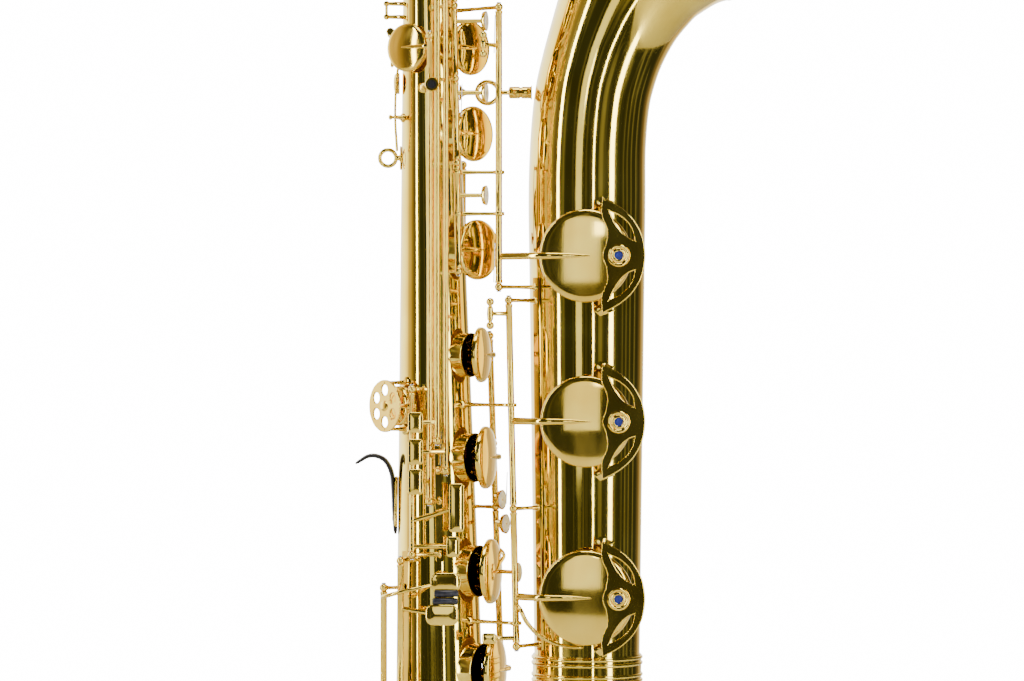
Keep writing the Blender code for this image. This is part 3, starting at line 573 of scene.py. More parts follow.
def ferrule(name, centre, axis, inner_r, length, thick, beads, node=None, sides=72):
    """A ring joint with turned beads along it."""
    h = length / 2
    profile = [(-h, inner_r), (-h, inner_r + thick * 0.7), (-h + 0.6, inner_r + thick)]
    for place in beads:
        for k in range(9):
            t = pi * k / 8
            profile.append((place - 1.5 * cos(t), inner_r + thick + 1.2 * sin(t)))
    profile += [(h - 0.6, inner_r + thick), (h, inner_r + thick * 0.7), (h, inner_r)]
    build(name, turned(profile, centre, axis, sides, True), BRASS, replaces=[node] if node else ())


def make_ferrules():
    ferrule("bell_bow_ferrule_rings", (BELL_X, 0, BELL_BOTTOM - 0.5), Z, BELL_BOTTOM_RADIUS + 0.3, 24, 1.2,
            (-9.5, -4.8, 4.8, 9.5), "bell_bow_ferrule", 96)
    ferrule("body_bow_ferrule_rings", body_axis(BODY_BOTTOM - 0.5), Z, body_radius(BODY_BOTTOM) + 0.3, 20,
            1.2,
            (-7.5, 0, 7.5), "body_bow_ferrule", 96)
    ferrule("body_top_ferrule_rings", body_axis(323), Z, 17.3, 14, 1.0, (-5, 5), None)


def loop_path():
    top = body_axis(BODY_TOP + 1)
    points = [top]
    points += [Vector((top.x + 40 * (1 - cos(radians(a))), 0, 334 + 40 * sin(radians(a))))
               for a in range(0, 181, 9)]
    third = Vector((75, 34, 240))
    second = Vector((top.x + 80, 0, 240))
    middle = (second + third) / 2
    half = (third - second) / 2
    points += [middle - half * cos(radians(a)) - Z * (half.length * sin(radians(a)))
               for a in range(0, 181, 9)]
    points.append(third + Z * 118)
    return points


def make_loop():
    points = loop_path()
    lengths = [0.0]
    for a, b in zip(points, points[1:]):
        lengths.append(lengths[-1] + (b - a).length)
    radii = [16.4 - 4.4 * s / lengths[-1] for s in lengths]
    outer, inner = thin_tube(points, radii, 56)
    build("pigtail_tube", closed_tube(outer, inner), BRASS, replaces=["pigtail_loop"], angle=60)
    ferrule("loop_ferrule_upper", (111.2, 0, 300), Z, 15.6, 16, 1.0, (-5.5, 5.5), None, 48)
    ferrule("loop_ferrule_lower", (75, 34, 262), Z, 13.6, 12, 1.0, (-3.5, 3.5), None, 48)
    receiver = [(-17, 13.0), (-17, 14.6), (-16, 15.1), (-13, 15.1), (-12.4, 14.2), (9, 14.2), (9.6, 15.3),
                (13, 15.6),
                (16, 15.3), (17, 14.6), (17, 13.0)]
    build("neck_receiver_collar", turned(receiver, (75, 34, 376), Z, 56, True), BRASS,
          replaces=["neck_receiver"])
    build("neck_screw", joined(wire([(75, 48, 380), (75, 58, 380)], [1.6, 1.6]),
                               slab((75, 58.5, 380), (9, 7, 2.0), X, Z, 0.6, 3.4)), KEY_BRASS)
    foot = [(0, 6.0), (1.6, 6.0), (2.6, 3.0), (5, 2.2)]
    build("loop_brace_bar", joined(wire([(52, 0, 285), (95.5, 0, 285)], [2.0, 2.0]),
                                   turned(foot, (51.6, 0, 285), X, 24),
                                   turned(foot, (96.0, 0, 285), -X, 24),
                                   turned([(-3, 2.2), (-1.5, 3.6), (1.5, 3.6), (3, 2.2)], (73, 0, 285), X,
                                          24)),
          KEY_BRASS, replaces=["loop_brace"])


def neck_path():
    centre = Vector((33, 34, 408))
    points = [Vector((75, 34, 361)), Vector((75, 34, 385))]
    points += [centre + Vector((42 * cos(radians(a)), 0, 42 * sin(radians(a)))) for a in range(0, 101, 5)]
    aim = Vector((-1, 0, 0.0435)).normalized()
    points.append(points[-1] + aim * 58)
    return points, aim


def make_neck():
    points, aim = neck_path()
    radii = [12.3, 12.3] + [12.0 - 3.7 * i / 20 for i in range(21)] + [7.8]
    outer, inner = thin_tube(points, radii, 56)
    build("neck_tube", closed_tube(outer, inner), BRASS, replaces=["neck"], angle=60)
    tip = points[-1]
    cork = [(-34, 8.2), (-34, 9.6), (-33, 10.0), (-2, 9.4), (-1, 9.0), (-1, 8.0)]
    build("neck_cork_sleeve", turned(cork, tip, aim, 48, True), CORK, replaces=["neck_cork"])
    build("neck_collar", turned([(0, 12.4), (0, 14.6), (2, 15.0), (5, 14.4), (6, 12.4)], (75, 34, 394), Z, 56,
                                True), BRASS)
    brace = [points[9] - Z * 9, points[6] + Vector((-9, 0, -7)), points[4] + Vector((-11, 0, -2))]
    build("neck_tail_wire", wire(brace, [1.3, 1.7, 1.3], 12), KEY_BRASS)
    shank = tip - aim * 22
    up = Y.cross(aim)
    if up.z < 0:
        up = -up
    rings = []
    stations = ((0, 12.6, 12.6, 0), (0.8, 13.6, 13.6, 0), (12, 14.0, 14.0, 0), (16, 13.6, 13.6, 0),
                (40, 13.0, 13.0, 0),
                (54, 12.4, 12.2, 0), (66, 11.4, 9.6, -0.8), (78, 10.2, 6.6, -2.4), (88, 9.4, 3.8, -4.6),
                (95, 8.9, 1.9, -6.2), (97.6, 8.4, 0.8, -7.2))
    for s, wide, high, drop in stations:
        centre = shank + aim * s + up * drop
        loop = []
        for t in turns(48):
            x = wide * cos(t)
            y = high * sin(t)
            floor = -9.0 - drop
            if s > 24 and y < floor:
                y = floor
            loop.append(centre + Y * x + up * y)
        rings.append(loop)
    build("mouthpiece_body", skin(rings), EBONITE, replaces=["mouthpiece"], angle=50)
    build("mouthpiece_shank_band", turned([(1.5, 13.6), (1.5, 14.3), (9, 14.5), (9, 13.6)], shank, aim, 56,
                                          True), KEY_BRASS)
    seat = shank + aim * 62 - up * 9.4
    blade = []
    for s, wide, thick in ((-32, 8.0, 2.7), (-31, 8.4, 2.8), (0, 8.5, 2.8), (8, 8.6, 2.2), (22, 8.7, 1.0),
                           (32, 8.6, 0.35), (34.5, 7.4, 0.2)):
        bottom = [(-1, -0.25), (-0.7, -0.8), (-0.3, -1), (0.3, -1), (0.7, -0.8), (1, -0.25)]
        blade.append([seat + aim * s + Y * (wide * x) + up * (thick * y) for x,
                      y in [(1, 0), (-1, 0)] + bottom])
    build("reed_blade", skin(blade), CANE, replaces=["reed"], angle=50)
    make_ligature(shank, aim, up)


def make_ligature(shank, aim, up):
    profile = [(30, 14.0), (30, 14.9), (31, 15.1), (32, 14.7), (50, 14.4), (51, 14.8), (52, 14.6), (52, 14.0)]
    build("ligature_band", turned(profile, shank, aim, 64, True), KEY_BRASS, replaces=["ligature"])
    for i, s in enumerate((35.5, 46.5)):
        at = shank + aim * s - up * 15.4
        screw = joined(turned([(-7, 1.5), (7, 1.5)], at, Y, 16),
                       turned([(7, 1.5), (7.4, 4.0), (10, 4.4), (12, 4.0), (12.4, 2.0)], at, Y, 24))
        build("ligature_screw_%d" % (i + 1), screw, KEY_BRASS)


# ---------------------------------------------------------------- hinge lines, posts and ribs

class Line:
    """A hinge line between two points, read by height."""

    def __init__(self, top, bottom):
        self.top = Vector(top)
        self.bottom = Vector(bottom)
        self.along = (self.top - self.bottom).normalized()

    def at(self, z):
        return self.bottom.lerp(self.top, (z - self.bottom.z) / (self.top.z - self.bottom.z))


LEFT_STACK = Line((54.5, -42.5, 186), (59.5, -44.5, -98))
RIGHT_STACK = Line((84.5, 8.0, -145), (94.5, 13.0, -439))
SIDE_LOW = Line((35.8, -43, 100), (35.8, -45, -287))
SIDE_MID = Line((49, -46, 174), (49, -47, -262))
SIDE_HIGH = Line((42.3, -55, 219), (42.3, -57, -237))
TRILL = Line((21.3, -42, -192), (21.3, -45, -328))
BELL_HIGH = Line((92.5, -45, 124), (92.5, -45, -111))
BELL_LOW = Line((100.5, -45, -113), (107, -45, -406))
PINKY_NEAR = Line((11.7, -41, -330), (11.7, -45, -545))
PINKY_FAR = Line((-2.5, -28, -352), (-2.5, -32, -545))
PALM = Line((4.9, 17.4, 318), (5.7, 20.6, 180))
G_SHARP = Line((62, 33, 0), (62, 37, -80))


def ball_post(line, z, root):
    """A turned post with a ball head, which holds a hinge line."""
    root = Vector(root)
    eye = line.at(z)
    aim = (eye - root).normalized()
    reach = (eye - root).length
    stem = [(-0.4, 3.4), (0.6, 3.3), (1.2, 2.4), (2.6, 1.9), (reach * 0.5, 1.5), (reach - 3.4, 1.7),
            (reach - 2.8, 2.3)]
    ball = [(reach + 3.5 * sin(radians(a)), 3.5 * cos(radians(a))) for a in range(-60, 91, 15)]
    return turned(stem + ball, root, aim, 20)


def rib(surface, angle, top, bottom, width):
    """A rib strip that lies along a tube, with eased edges."""
    face = out(angle)
    side = Vector((-face.y, face.x, 0))
    outline = [(-1, 0), (1, 0), (1, 1.3), (0.86, 1.9), (-0.86, 1.9), (-1, 1.3)]
    rings = []
    for z in (bottom, bottom + 0.8, top - 0.8, top):
        near = surface(z, angle, 0.25)
        w = width / 2 * (0.9 if z in (bottom, top) else 1)
        rings.append([near + side * (a * w) + face * b for a, b in outline])
    return skin(rings)


def screws(name, line, heights):
    """Heads of the rod and pivot screws, on the outer side of their posts."""
    heads = []
    for z, sign in heights:
        at = line.at(z) + line.along * (sign * 3.2)
        heads.append(turned([(0, 1.9), (0.7, 1.9), (1.0, 1.5)], at, line.along * sign, 16))
    build(name, joined(*heads), STEEL)


def post_row(name, ribs, rows, replaces):
    """A rib with all its ball posts, in one finish."""
    shapes = list(ribs)
    for line, heights, root_of in rows:
        shapes += [ball_post(line, z, root_of(z)) for z in heights]
    build(name, joined(*shapes), KEY_BRASS, replaces=replaces)


def make_ribs():
    main_angle = -86.0
    post_row("main_rib_posts", [rib(on_body, main_angle, 222, -334, 6.5)], [
        (LEFT_STACK, (182.5, 123, 63, -6, -95), lambda z: on_body(z, main_angle, POST_SEAT) + X * 1.5),
        (SIDE_LOW, (98.5, -284), lambda z: on_body(z, main_angle, POST_SEAT)),
        (SIDE_MID, (171, -259), lambda z: on_body(z, main_angle, POST_SEAT)),
        (SIDE_HIGH, (216, -234), lambda z: on_body(z, main_angle, POST_SEAT)),
        (TRILL, (-192, -328), lambda z: on_body(z, main_angle, POST_SEAT))], ["main_rib"])
    post_row("lower_stack_posts", [rib(on_body, 38, -142, -442, 8)],
             [(RIGHT_STACK, (-148, -238, -291, -436), lambda z: on_body(z, 38, POST_SEAT))],
             ["lower_stack_rib"])
    post_row("bell_rib_posts", [rib(on_bell, -150, -100, -408, 9)], [
        (BELL_HIGH, (-108,), lambda z: on_bell(z, -150, POST_SEAT)),
        (BELL_LOW, (-119, -290, -403), lambda z: on_bell(z, -150, POST_SEAT))], ["bell_key_rib"])
    foot = on_body(121.5, STACK_ANGLE, 0.3)
    post_row("bell_rod_bracket_post",
             [turned([(0, 5.4), (1.0, 5.4), (1.6, 4.6)], foot, out(STACK_ANGLE), 28)],
             [(BELL_HIGH, (121.5,), lambda z: foot + out(STACK_ANGLE) * 1.2)], ["bell_rod_bracket"])
    post_row("pinky_rib_posts", [rib(on_body, -138, -326, -532, 9)], [
        (PINKY_NEAR, (-333, -524), lambda z: on_body(z, -138, POST_SEAT) + Vector((2, -1, 0))),
        (PINKY_FAR, (-356, -529), lambda z: on_body(z, -138, POST_SEAT) + Vector((-2, 1, 0)))], ["pinky_rib"])
    post_row("palm_rib_posts", [rib(on_body, 155, 318, 166, 5)],
             [(PALM, (314, 266.5, 219, 172), lambda z: on_body(z, 155, POST_SEAT))], ["palm_rib"])
    post_row("g_sharp_rib_posts", [rib(on_body, 44, 0, -80, 6)],
             [(G_SHARP, (-4, -76), lambda z: on_body(z, 44, POST_SEAT))], ["g_sharp_rib"])
    for name, line, heights in (
            ("left_stack_screws", LEFT_STACK, ((182.5, 1), (-95, -1))),
            ("right_stack_screws", RIGHT_STACK, ((-148, 1), (-436, -1))),
            ("side_low_screws", SIDE_LOW, ((98.5, 1), (-284, -1))),
            ("side_mid_screws", SIDE_MID, ((171, 1), (-259, -1))),
            ("side_high_screws", SIDE_HIGH, ((216, 1), (-234, -1))),
            ("trill_screws", TRILL, ((-192, 1), (-328, -1))),
            ("bell_high_screws", BELL_HIGH, ((121.5, 1), (-108, -1))),
            ("bell_low_screws", BELL_LOW, ((-119, 1), (-403, -1))),
            ("pinky_near_screws", PINKY_NEAR, ((-333, 1), (-524, -1))),
            ("pinky_far_screws", PINKY_FAR, ((-356, 1), (-529, -1)))):
        screws(name, line, heights)


def make_rods():
    for node, line, top, bottom in (("left_stack_rod", LEFT_STACK, 187, -99.5),
                                    ("right_stack_rod", RIGHT_STACK, -144, -440),
                                    ("bell_rod_high", BELL_HIGH, 125, -111.5),
                                    ("bell_rod_low", BELL_LOW, -115.4, -406.5)):
        ends = (line.at(bottom), line.at(top))
        length = (ends[1] - ends[0]).length
        build(node + "_pin", turned([(0, 1.1), (0.5, 1.5), (length - 0.5, 1.5), (length, 1.1)], ends[0],
                                    line.along, 20), STEEL, replaces=[node])


# ---------------------------------------------------------------- keys

def swing(piece, body):
    """Swings a piece that is built closed to the place where its key rests, which is open."""
    joint = JOINTS[body]
    pivot = Matrix.Translation(Vector(joint["pos_m"]))
    turn = Matrix.Rotation(-radians(joint["range_deg"][1]), 4, Vector(joint["axis"]))
    piece.data.transform(pivot @ turn @ pivot.inverted())


def cup_shape(hole):
    """A hollow domed key cup with a rolled lip."""
    r = hole.cup_r
    dome = [(5.1 + 2.0 * (1 - (k / 10) ** 2), max(r - 2.0, 1) * k / 10) for k in range(1, 10)]
    profile = [(7.1, 0.05), *dome, (5.0, r - 1.7), (4.4, r - 0.7), (3.4, r - 0.15), (1.4, r), (0.9, r - 0.1),
               (0.8, r - 0.5),
               (1.0, r - 0.8), (3.6, r - 0.9), (4.0, r - 1.6), (4.0, 0.05)]
    return turned(profile, hole.rim + hole.facing * (SEAT - 0.2), hole.facing, 64, True)


def pad_shape(hole):
    """A leather pad: it bulges a little and holds the print of its tone hole."""
    r = hole.cup_r - 1.0
    h = hole.hole_r + 0.5
    profile = [(3.4, 0.05), (3.4, r), (1.2, r), (0.5, r - 0.9), (0.15, h + 1.6), (0.32, h), (0.10, h - 1.6),
               (0.05, h * 0.5),
               (0.05, 0.05)]
    return turned(profile, hole.rim + hole.facing * (SEAT - 0.2), hole.facing, 56)


def resonator_shape(hole):
    r = hole.hole_r * 0.55
    profile = [(0.3, 0.05), (0.3, r), (-0.2, r - 0.2), (-0.7, r * 0.6), (-0.9, r * 0.2), (-0.9, 0.05)]
    return turned(profile, hole.rim + hole.facing * (SEAT - 0.2), hole.facing, 40)


def arm_shape(hole, root, via=(), wide=2.6, tip=1.0):
    """A key arm: deep at its hinge, arched over the cup's edge and pointed past its middle."""
    middle = hole.rim + hole.facing * (SEAT + 6.9)
    inward = root - middle
    inward = (inward - hole.facing * inward.dot(hole.facing)).normalized()
    edge = middle + inward * hole.cup_r * 0.95
    start = root + (edge - root).normalized() * 1.2
    points = [start, *[Vector(p) for p in via], edge + hole.facing * 0.2, middle + inward * hole.cup_r * 0.45,
              middle - inward * hole.cup_r * 0.12]
    return wire(points, [wide, wide * 0.95, wide * 0.8, wide * 0.7, tip * 0.5], 16, 0.62,
                hint=hole.facing.cross(inward).normalized())


def tube_shape(line, span, radius):
    """A hinge tube with a raised collar at each end."""
    top, bottom = max(span), min(span)
    length = (line.at(top) - line.at(bottom)).length
    profile = [(0, radius - 0.5), (0.2, radius + 0.3), (2.2, radius + 0.3), (2.6, radius),
               (length - 2.6, radius),
               (length - 2.2, radius + 0.3), (length - 0.2, radius + 0.3), (length, radius - 0.5)]
    return turned(profile, line.at(bottom), line.along, 28)


def make_key(node, hole, line, span, arm_z, rests_open, touch=(), radius=2.8, via=(), wide=2.6):
    """A whole key: hinge tube, arm, cup, pad and touch, each its own piece on the key's body."""
    base = node.replace("_key", "")
    root = line.at(arm_z)
    moving = [build(base + "_cup", cup_shape(hole), KEY_BRASS, node, angle=50),
              build(base + "_pad", pad_shape(hole), LEATHER, node),
              build(base + "_resonator", resonator_shape(hole), KEY_BRASS, node),
              build(base + "_arm", arm_shape(hole, root, via, wide), KEY_BRASS, node)]
    for suffix, some_shape, material in touch:
        moving.append(build(base + suffix, some_shape, material, node))
    if rests_open:
        for piece in moving:
            swing(piece, node)
    build(base + "_hinge_tube", tube_shape(line, span, radius), KEY_BRASS, node, replaces=[node])


def pearl_touch(line, z, place, facing=X):
    """A pearl in a brass cup that faces the bell, on a curved arm."""
    spot = Vector(place)
    holder = [(-2.0, 0.05), (-2.0, 5.0), (-1.2, 7.4), (0.8, 8.2), (1.6, 8.3), (1.7, 7.7), (0.9, 7.5),
              (0.9, 0.05)]
    pearl = [(0.9, 0.05), (0.9, 7.4), (1.7, 7.2), (2.2, 6.0), (1.9, 3.0), (1.8, 0.05)]
    root = line.at(z)
    return (("_touch_arm", wire([root, root.lerp(spot, 0.55) + facing * 2.4, spot + facing * 0.4],
                                [1.9, 1.8, 1.7], 14), KEY_BRASS),
            ("_pearl_cup", turned(holder, spot, facing, 40), KEY_BRASS),
            ("_pearl", turned(pearl, spot, facing, 40), PEARL))


def paddle_touch(line, z, place, size, reach=(), across=X, up=Z, corner=2.5, suffix=""):
    """A rounded flat touch on an arm that runs through the points of reach."""
    spot = Vector(place)
    root = line.at(z)
    back = Vector(up).cross(Vector(across)).normalized() * (size[2] / 2 + 0.7)
    via = [Vector(p) for p in reach] if reach else [root.lerp(spot, 0.6)]
    path = [root, *via, spot + back]
    return (("_touch_arm" + suffix, wire(path, [2.0, 1.8, 1.3], 14), KEY_BRASS),
            ("_touch" + suffix, slab(spot, size, across, up, 0.7, corner, 0.7), KEY_BRASS))


def barrel_touch(line, z, place, tall):
    """An upright turned barrel with a ball at each end."""
    spot = Vector(place)
    h = tall / 2
    ball = [(3.3 * (1 - cos(radians(a))), 3.3 * sin(radians(a))) for a in range(0, 136, 15)]
    profile = ball + [(6.2, 1.6), (7.2, 1.6), (8.0, 2.4), (h, 2.8), (tall - 8.0, 2.4), (tall - 7.2, 1.6),
                      (tall - 6.2, 1.6)]
    profile += [(tall - p, r) for p, r in ball[::-1]]
    return (("_touch_arm", wire([line.at(z), line.at(z).lerp(spot, 0.6), spot + Y * 1.0], [2.0, 1.8, 1.6],
                                14), KEY_BRASS),
            ("_touch", turned(profile, spot - Z * h, Z, 32), KEY_BRASS))


def make_stack_keys():
    """The four keys of each hand's stack, with a pearl where a finger rests."""
    for node, line, span, arm_z, *pearl in (
            ("c_key", LEFT_STACK, (179.6, 125.9), 150),
            ("b_key", LEFT_STACK, (120.1, 65.9), 90, 110, (81, -41, 110)),
            ("a_key", LEFT_STACK, (60.1, -3.1), 19, 51, (81, -41, 51)),
            ("g_key", LEFT_STACK, (-8.9, -92.1), -77, -33, (81, -42, -33)),
            ("f_sharp_key", RIGHT_STACK, (-150.9, -235.1), -164),
            ("f_key", RIGHT_STACK, (-240.9, -288.1), -249, -281, (88, -18, -284), PEARL_FACING),
            ("e_key", RIGHT_STACK, (-293.9, -329.8), -325, -303, (91, -18, -304), PEARL_FACING),
            ("d_key", RIGHT_STACK, (-330.3, -433.1), -425, -345, (103, -9, -345), PEARL_FACING)):
        make_key(node, BODY_HOLES[node], line, span, arm_z, True, pearl_touch(line, *pearl) if pearl else ())


def make_side_keys():
    h = BODY_HOLES
    slim = 2.4
    for node, line, span, z, touch_z, tall in (
            ("side_b_flat_key", SIDE_LOW, (95.6, -281.1), 90, -267.5, 21),
            ("side_c_key", SIDE_MID, (168.1, -256.1), 160, -243, 21),
            ("high_e_key", SIDE_HIGH, (213.1, -231.1), 205, -219, 17)):
        make_key(node, h[node], line, span, z, False,
                 paddle_touch(line, touch_z, (24.5, -59, touch_z), (12.5, tall, 2.4)), slim, wide=2.1)
    make_key("trill_f_sharp_key", h["trill_f_sharp_key"], TRILL, (-194.9, -325.1), -206, False,
             paddle_touch(TRILL, -321, (55, -51, -321), (11, 17, 2.4))
             + paddle_touch(TRILL, -300, (58, -52, -289), (12.5, 40, 2.4), suffix="_long"), slim, wide=2.1)
    make_key("g_sharp_key", h["g_sharp_key"], G_SHARP, (-6.9, -73.1), -40, False,
             paddle_touch(G_SHARP, -66, (76, 40, -66), (14, 10, 2.4)), 2.6, wide=2.2)
    for node, z, high, low in (("palm_d_key", 195, 216.1, 174.9), ("palm_e_flat_key", 243, 263.6, 221.9),
                               ("palm_f_key", 290, 311.1, 269.4)):
        make_key(node, h[node], PALM, (high, low), z, False,
                 paddle_touch(PALM, low + 12, (-12, 22, low + 12), (15, 20, 2.6), (), Y, Z, 5), slim,
                 wide=2.0)


def roller(name, centre, length, body):
    profile = [(0, 0.6), (0.2, 2.2), (1.2, 2.9), (length - 1.2, 2.9), (length - 0.2, 2.2), (length, 0.6)]
    build(name, turned(profile, Vector(centre) - X * (length / 2), X, 24), ROLLER, body)


def make_low_keys():
    h = BELL_HOLES
    make_key("low_a_key", h["low_a_key"], BELL_HIGH, (118.6, -105.1), -83, True,
             barrel_touch(BELL_HIGH, 90, (82, -60, 90), 22), 2.8, wide=3.0)
    make_key("low_b_flat_key", h["low_b_flat_key"], BELL_LOW, (-121.9, -287.1), -218, True,
             barrel_touch(BELL_LOW, -130, (87, -56, -130), 26), 2.8, wide=3.0)
    make_key("low_b_key", h["low_b_key"], BELL_LOW, (-292.9, -400.1), -362, True,
             paddle_touch(BELL_LOW, -396, (86, -55, -396), (12, 9, 2.6)), 2.8, wide=3.0)
    make_key("low_c_key", LOW_C_HOLE, PINKY_NEAR, (-335.9, -521.1), -503, True,
             paddle_touch(PINKY_NEAR, -372, (48, -51, -376.5), (27, 17, 3), corner=6), 2.8,
             ((17, -55, -522),))
    make_key("e_flat_key", BODY_HOLES["e_flat_key"], PINKY_FAR, (-358.9, -526.1), -500, False,
             paddle_touch(PINKY_FAR, -364, (49, -52, -350), (25, 15.5, 3), ((-1, -44, -362), (16, -53, -357)),
                          corner=6), 2.8)
    roller("e_flat_roller", (49.5, -54.6, -358.9), 20, "e_flat_key")
    roller("low_c_roller", (48.5, -54.6, -365.4), 21, "low_c_key")


# ---------------------------------------------------------------- guards, felts and small fittings

def flat_shape(name, outlines, middle, thickness, bevel, material, body=ROOT, replaces=(), side=X, facing=-Y):
    """A pierced plate: the first outline is its edge, and the others are its windows."""
    curve = bpy.data.curves.new(name, "CURVE")
    curve.dimensions = "2D"
    curve.fill_mode = "BOTH"
    curve.extrude = (thickness / 2 - bevel) * UNIT
    curve.bevel_depth = bevel * UNIT
    curve.bevel_resolution = 2
    for outline in outlines:
        spline = curve.splines.new("BEZIER")
        spline.bezier_points.add(len(outline) - 1)
        for point, (x, z, sharp) in zip(spline.bezier_points, outline):
            point.co = (x * UNIT, z * UNIT, 0)
            point.handle_left_type = point.handle_right_type = "VECTOR" if sharp else "AUTO"
        spline.use_cyclic_u = True
        spline.resolution_u = 10
    mesh = applied(linked(name, curve), name, material)
    stand = Matrix((side, Z, facing)).transposed().to_4x4()
    mesh.transform(Matrix.Translation(Vector(middle) * UNIT) @ stand)
    mesh.set_sharp_from_angle(angle=radians(35))
    return settle(name, mesh, body, replaces)


def circle(x, z, radius, count):
    """A round outline for a flat shape."""
    return [(x + radius * cos(t), z + radius * sin(t), False) for t in turns(count)]


def wing(side):
    """Half of a guard's outer edge, from its tip round to the boss, as (x, z, sharp)."""
    return [(11.5, 46.0 * side, True), (27.5, 36.5 * side, False), (38.5, 24.0 * side, False),
            (43.8, 10.0 * side, False)]


def guard_outline():
    outer = wing(1) + wing(-1)[::-1]
    inner = [(11.0, -33.0, False), (15.5, -20.5, False), (14.5, -9.0, True), (11.8, 0, False),
             (14.5, 9.0, True),
             (15.5, 20.5, False), (11.0, 33.0, False)]
    return outer + inner


def guard_window(side):
    return [(15.0, 37.5 * side, True), (27.0, 31.5 * side, False), (35.5, 21.5 * side, False),
            (38.0, 11.0 * side, True),
            (31.5, 13.5 * side, False), (22.5, 22.5 * side, False)]


def diamond(centre, up):
    """A kite-shaped foot with a raised middle, soldered on the bell."""
    spot = Vector(centre)
    rings = []
    for h, grow in ((0, 1.0), (0.8, 1.0), (1.2, 0.9), (2.4, 0.25)):
        rings.append([spot + Vector((x * grow, -h, z * grow * up)) for x,
                      z in ((-9.5, 1.5), (-2.5, 7.5), (9.5, 3.0), (1.5, -4.5))])
    return skin(rings)


def make_bell_guard(base, hole):
    plane = hole.rim.y - GUARD_STAND
    centre = Vector((hole.rim.x, plane, hole.rim.z))
    windows = [guard_window(1), guard_window(-1)]
    boss = circle(BOSS_OUT, 0, 7.2, 8)
    flat_shape(base + "_guard_plate", [guard_outline(), *windows, boss], centre, 2.4, 0.9, KEY_BRASS,
               replaces=[base + "_guard"])
    boss_at = centre + X * BOSS_OUT
    ring_profile = [(-1.4, 6.2), (-2.1, 7.0), (-2.35, 7.8), (-1.9, 9.0), (-0.8, 9.6), (1.6, 9.6), (3.2, 8.6),
                    (3.2, 6.2)]
    build(base + "_guard_boss", turned(ring_profile, boss_at, Y, 48, True), KEY_BRASS)
    felt = [(-1.2, 0.05), (-1.3, 3.4), (-0.8, 4.2), (-0.8, 5.9), (5.6, 5.9), (6.4, 4.8), (6.6, 0.05)]
    build(base + "_felt_bumper", turned(felt, boss_at, Y, 40), FELT)
    setting = [(-2.0, 3.6), (-2.2, 4.4), (-1.7, 5.6), (-1.0, 6.3), (0, 6.3), (0, 3.6)]
    build(base + "_bumper_collar", turned(setting, boss_at, Y, 40, True), KEY_BRASS)
    legs = []
    for side in (1, -1):
        x, z = 12.4, 41.6 * side
        bell_y = -sqrt(bell_radius(hole.rim.z + z) ** 2 - x * x)
        foot = Vector((hole.rim.x + x, bell_y - 0.4, hole.rim.z + z))
        legs += [wire([centre + Vector((x, 0.6, z)), foot + Vector((0, -8, side)), foot - Y * 0.6],
                      [2.0, 2.2, 3.4], 16),
                 diamond(foot, side)]
    build(base + "_guard_legs", joined(*legs), KEY_BRASS)


def make_trill_guard():
    hole = BODY_HOLES["trill_f_sharp_key"]
    facing = hole.facing
    middle = hole.rim + facing * 15.5
    side = Z.cross(facing).normalized()
    ports = [circle(13.2 * cos(p), 13.2 * sin(p), 5.0, 8) for p in [pi / 6 + pi * k / 3 for k in range(6)]]
    flat_shape("trill_guard_disc", [circle(0, 0, 21, 12), *ports], middle, 1.8, 0.6, KEY_BRASS,
               replaces=["trill_guard"], side=side, facing=facing)
    build("trill_guard_hub", turned([(0.6, 4.6), (1.6, 4.2), (2.2, 2.6), (2.4, 0.05)], middle, facing, 32),
          KEY_BRASS)
    legs = []
    for sign in (-1, 1):
        top = middle + Z * (19.2 * sign)
        foot = on_body(top.z, TRILL_ANGLE, 0.5)
        legs += [wire([top, top.lerp(foot, 0.5), foot], [1.5, 1.5, 2.2], 14),
                 turned([(0, 4.8), (0.8, 4.8), (1.4, 3.8)], foot, facing, 24)]
    build("trill_guard_legs", joined(*legs), KEY_BRASS)


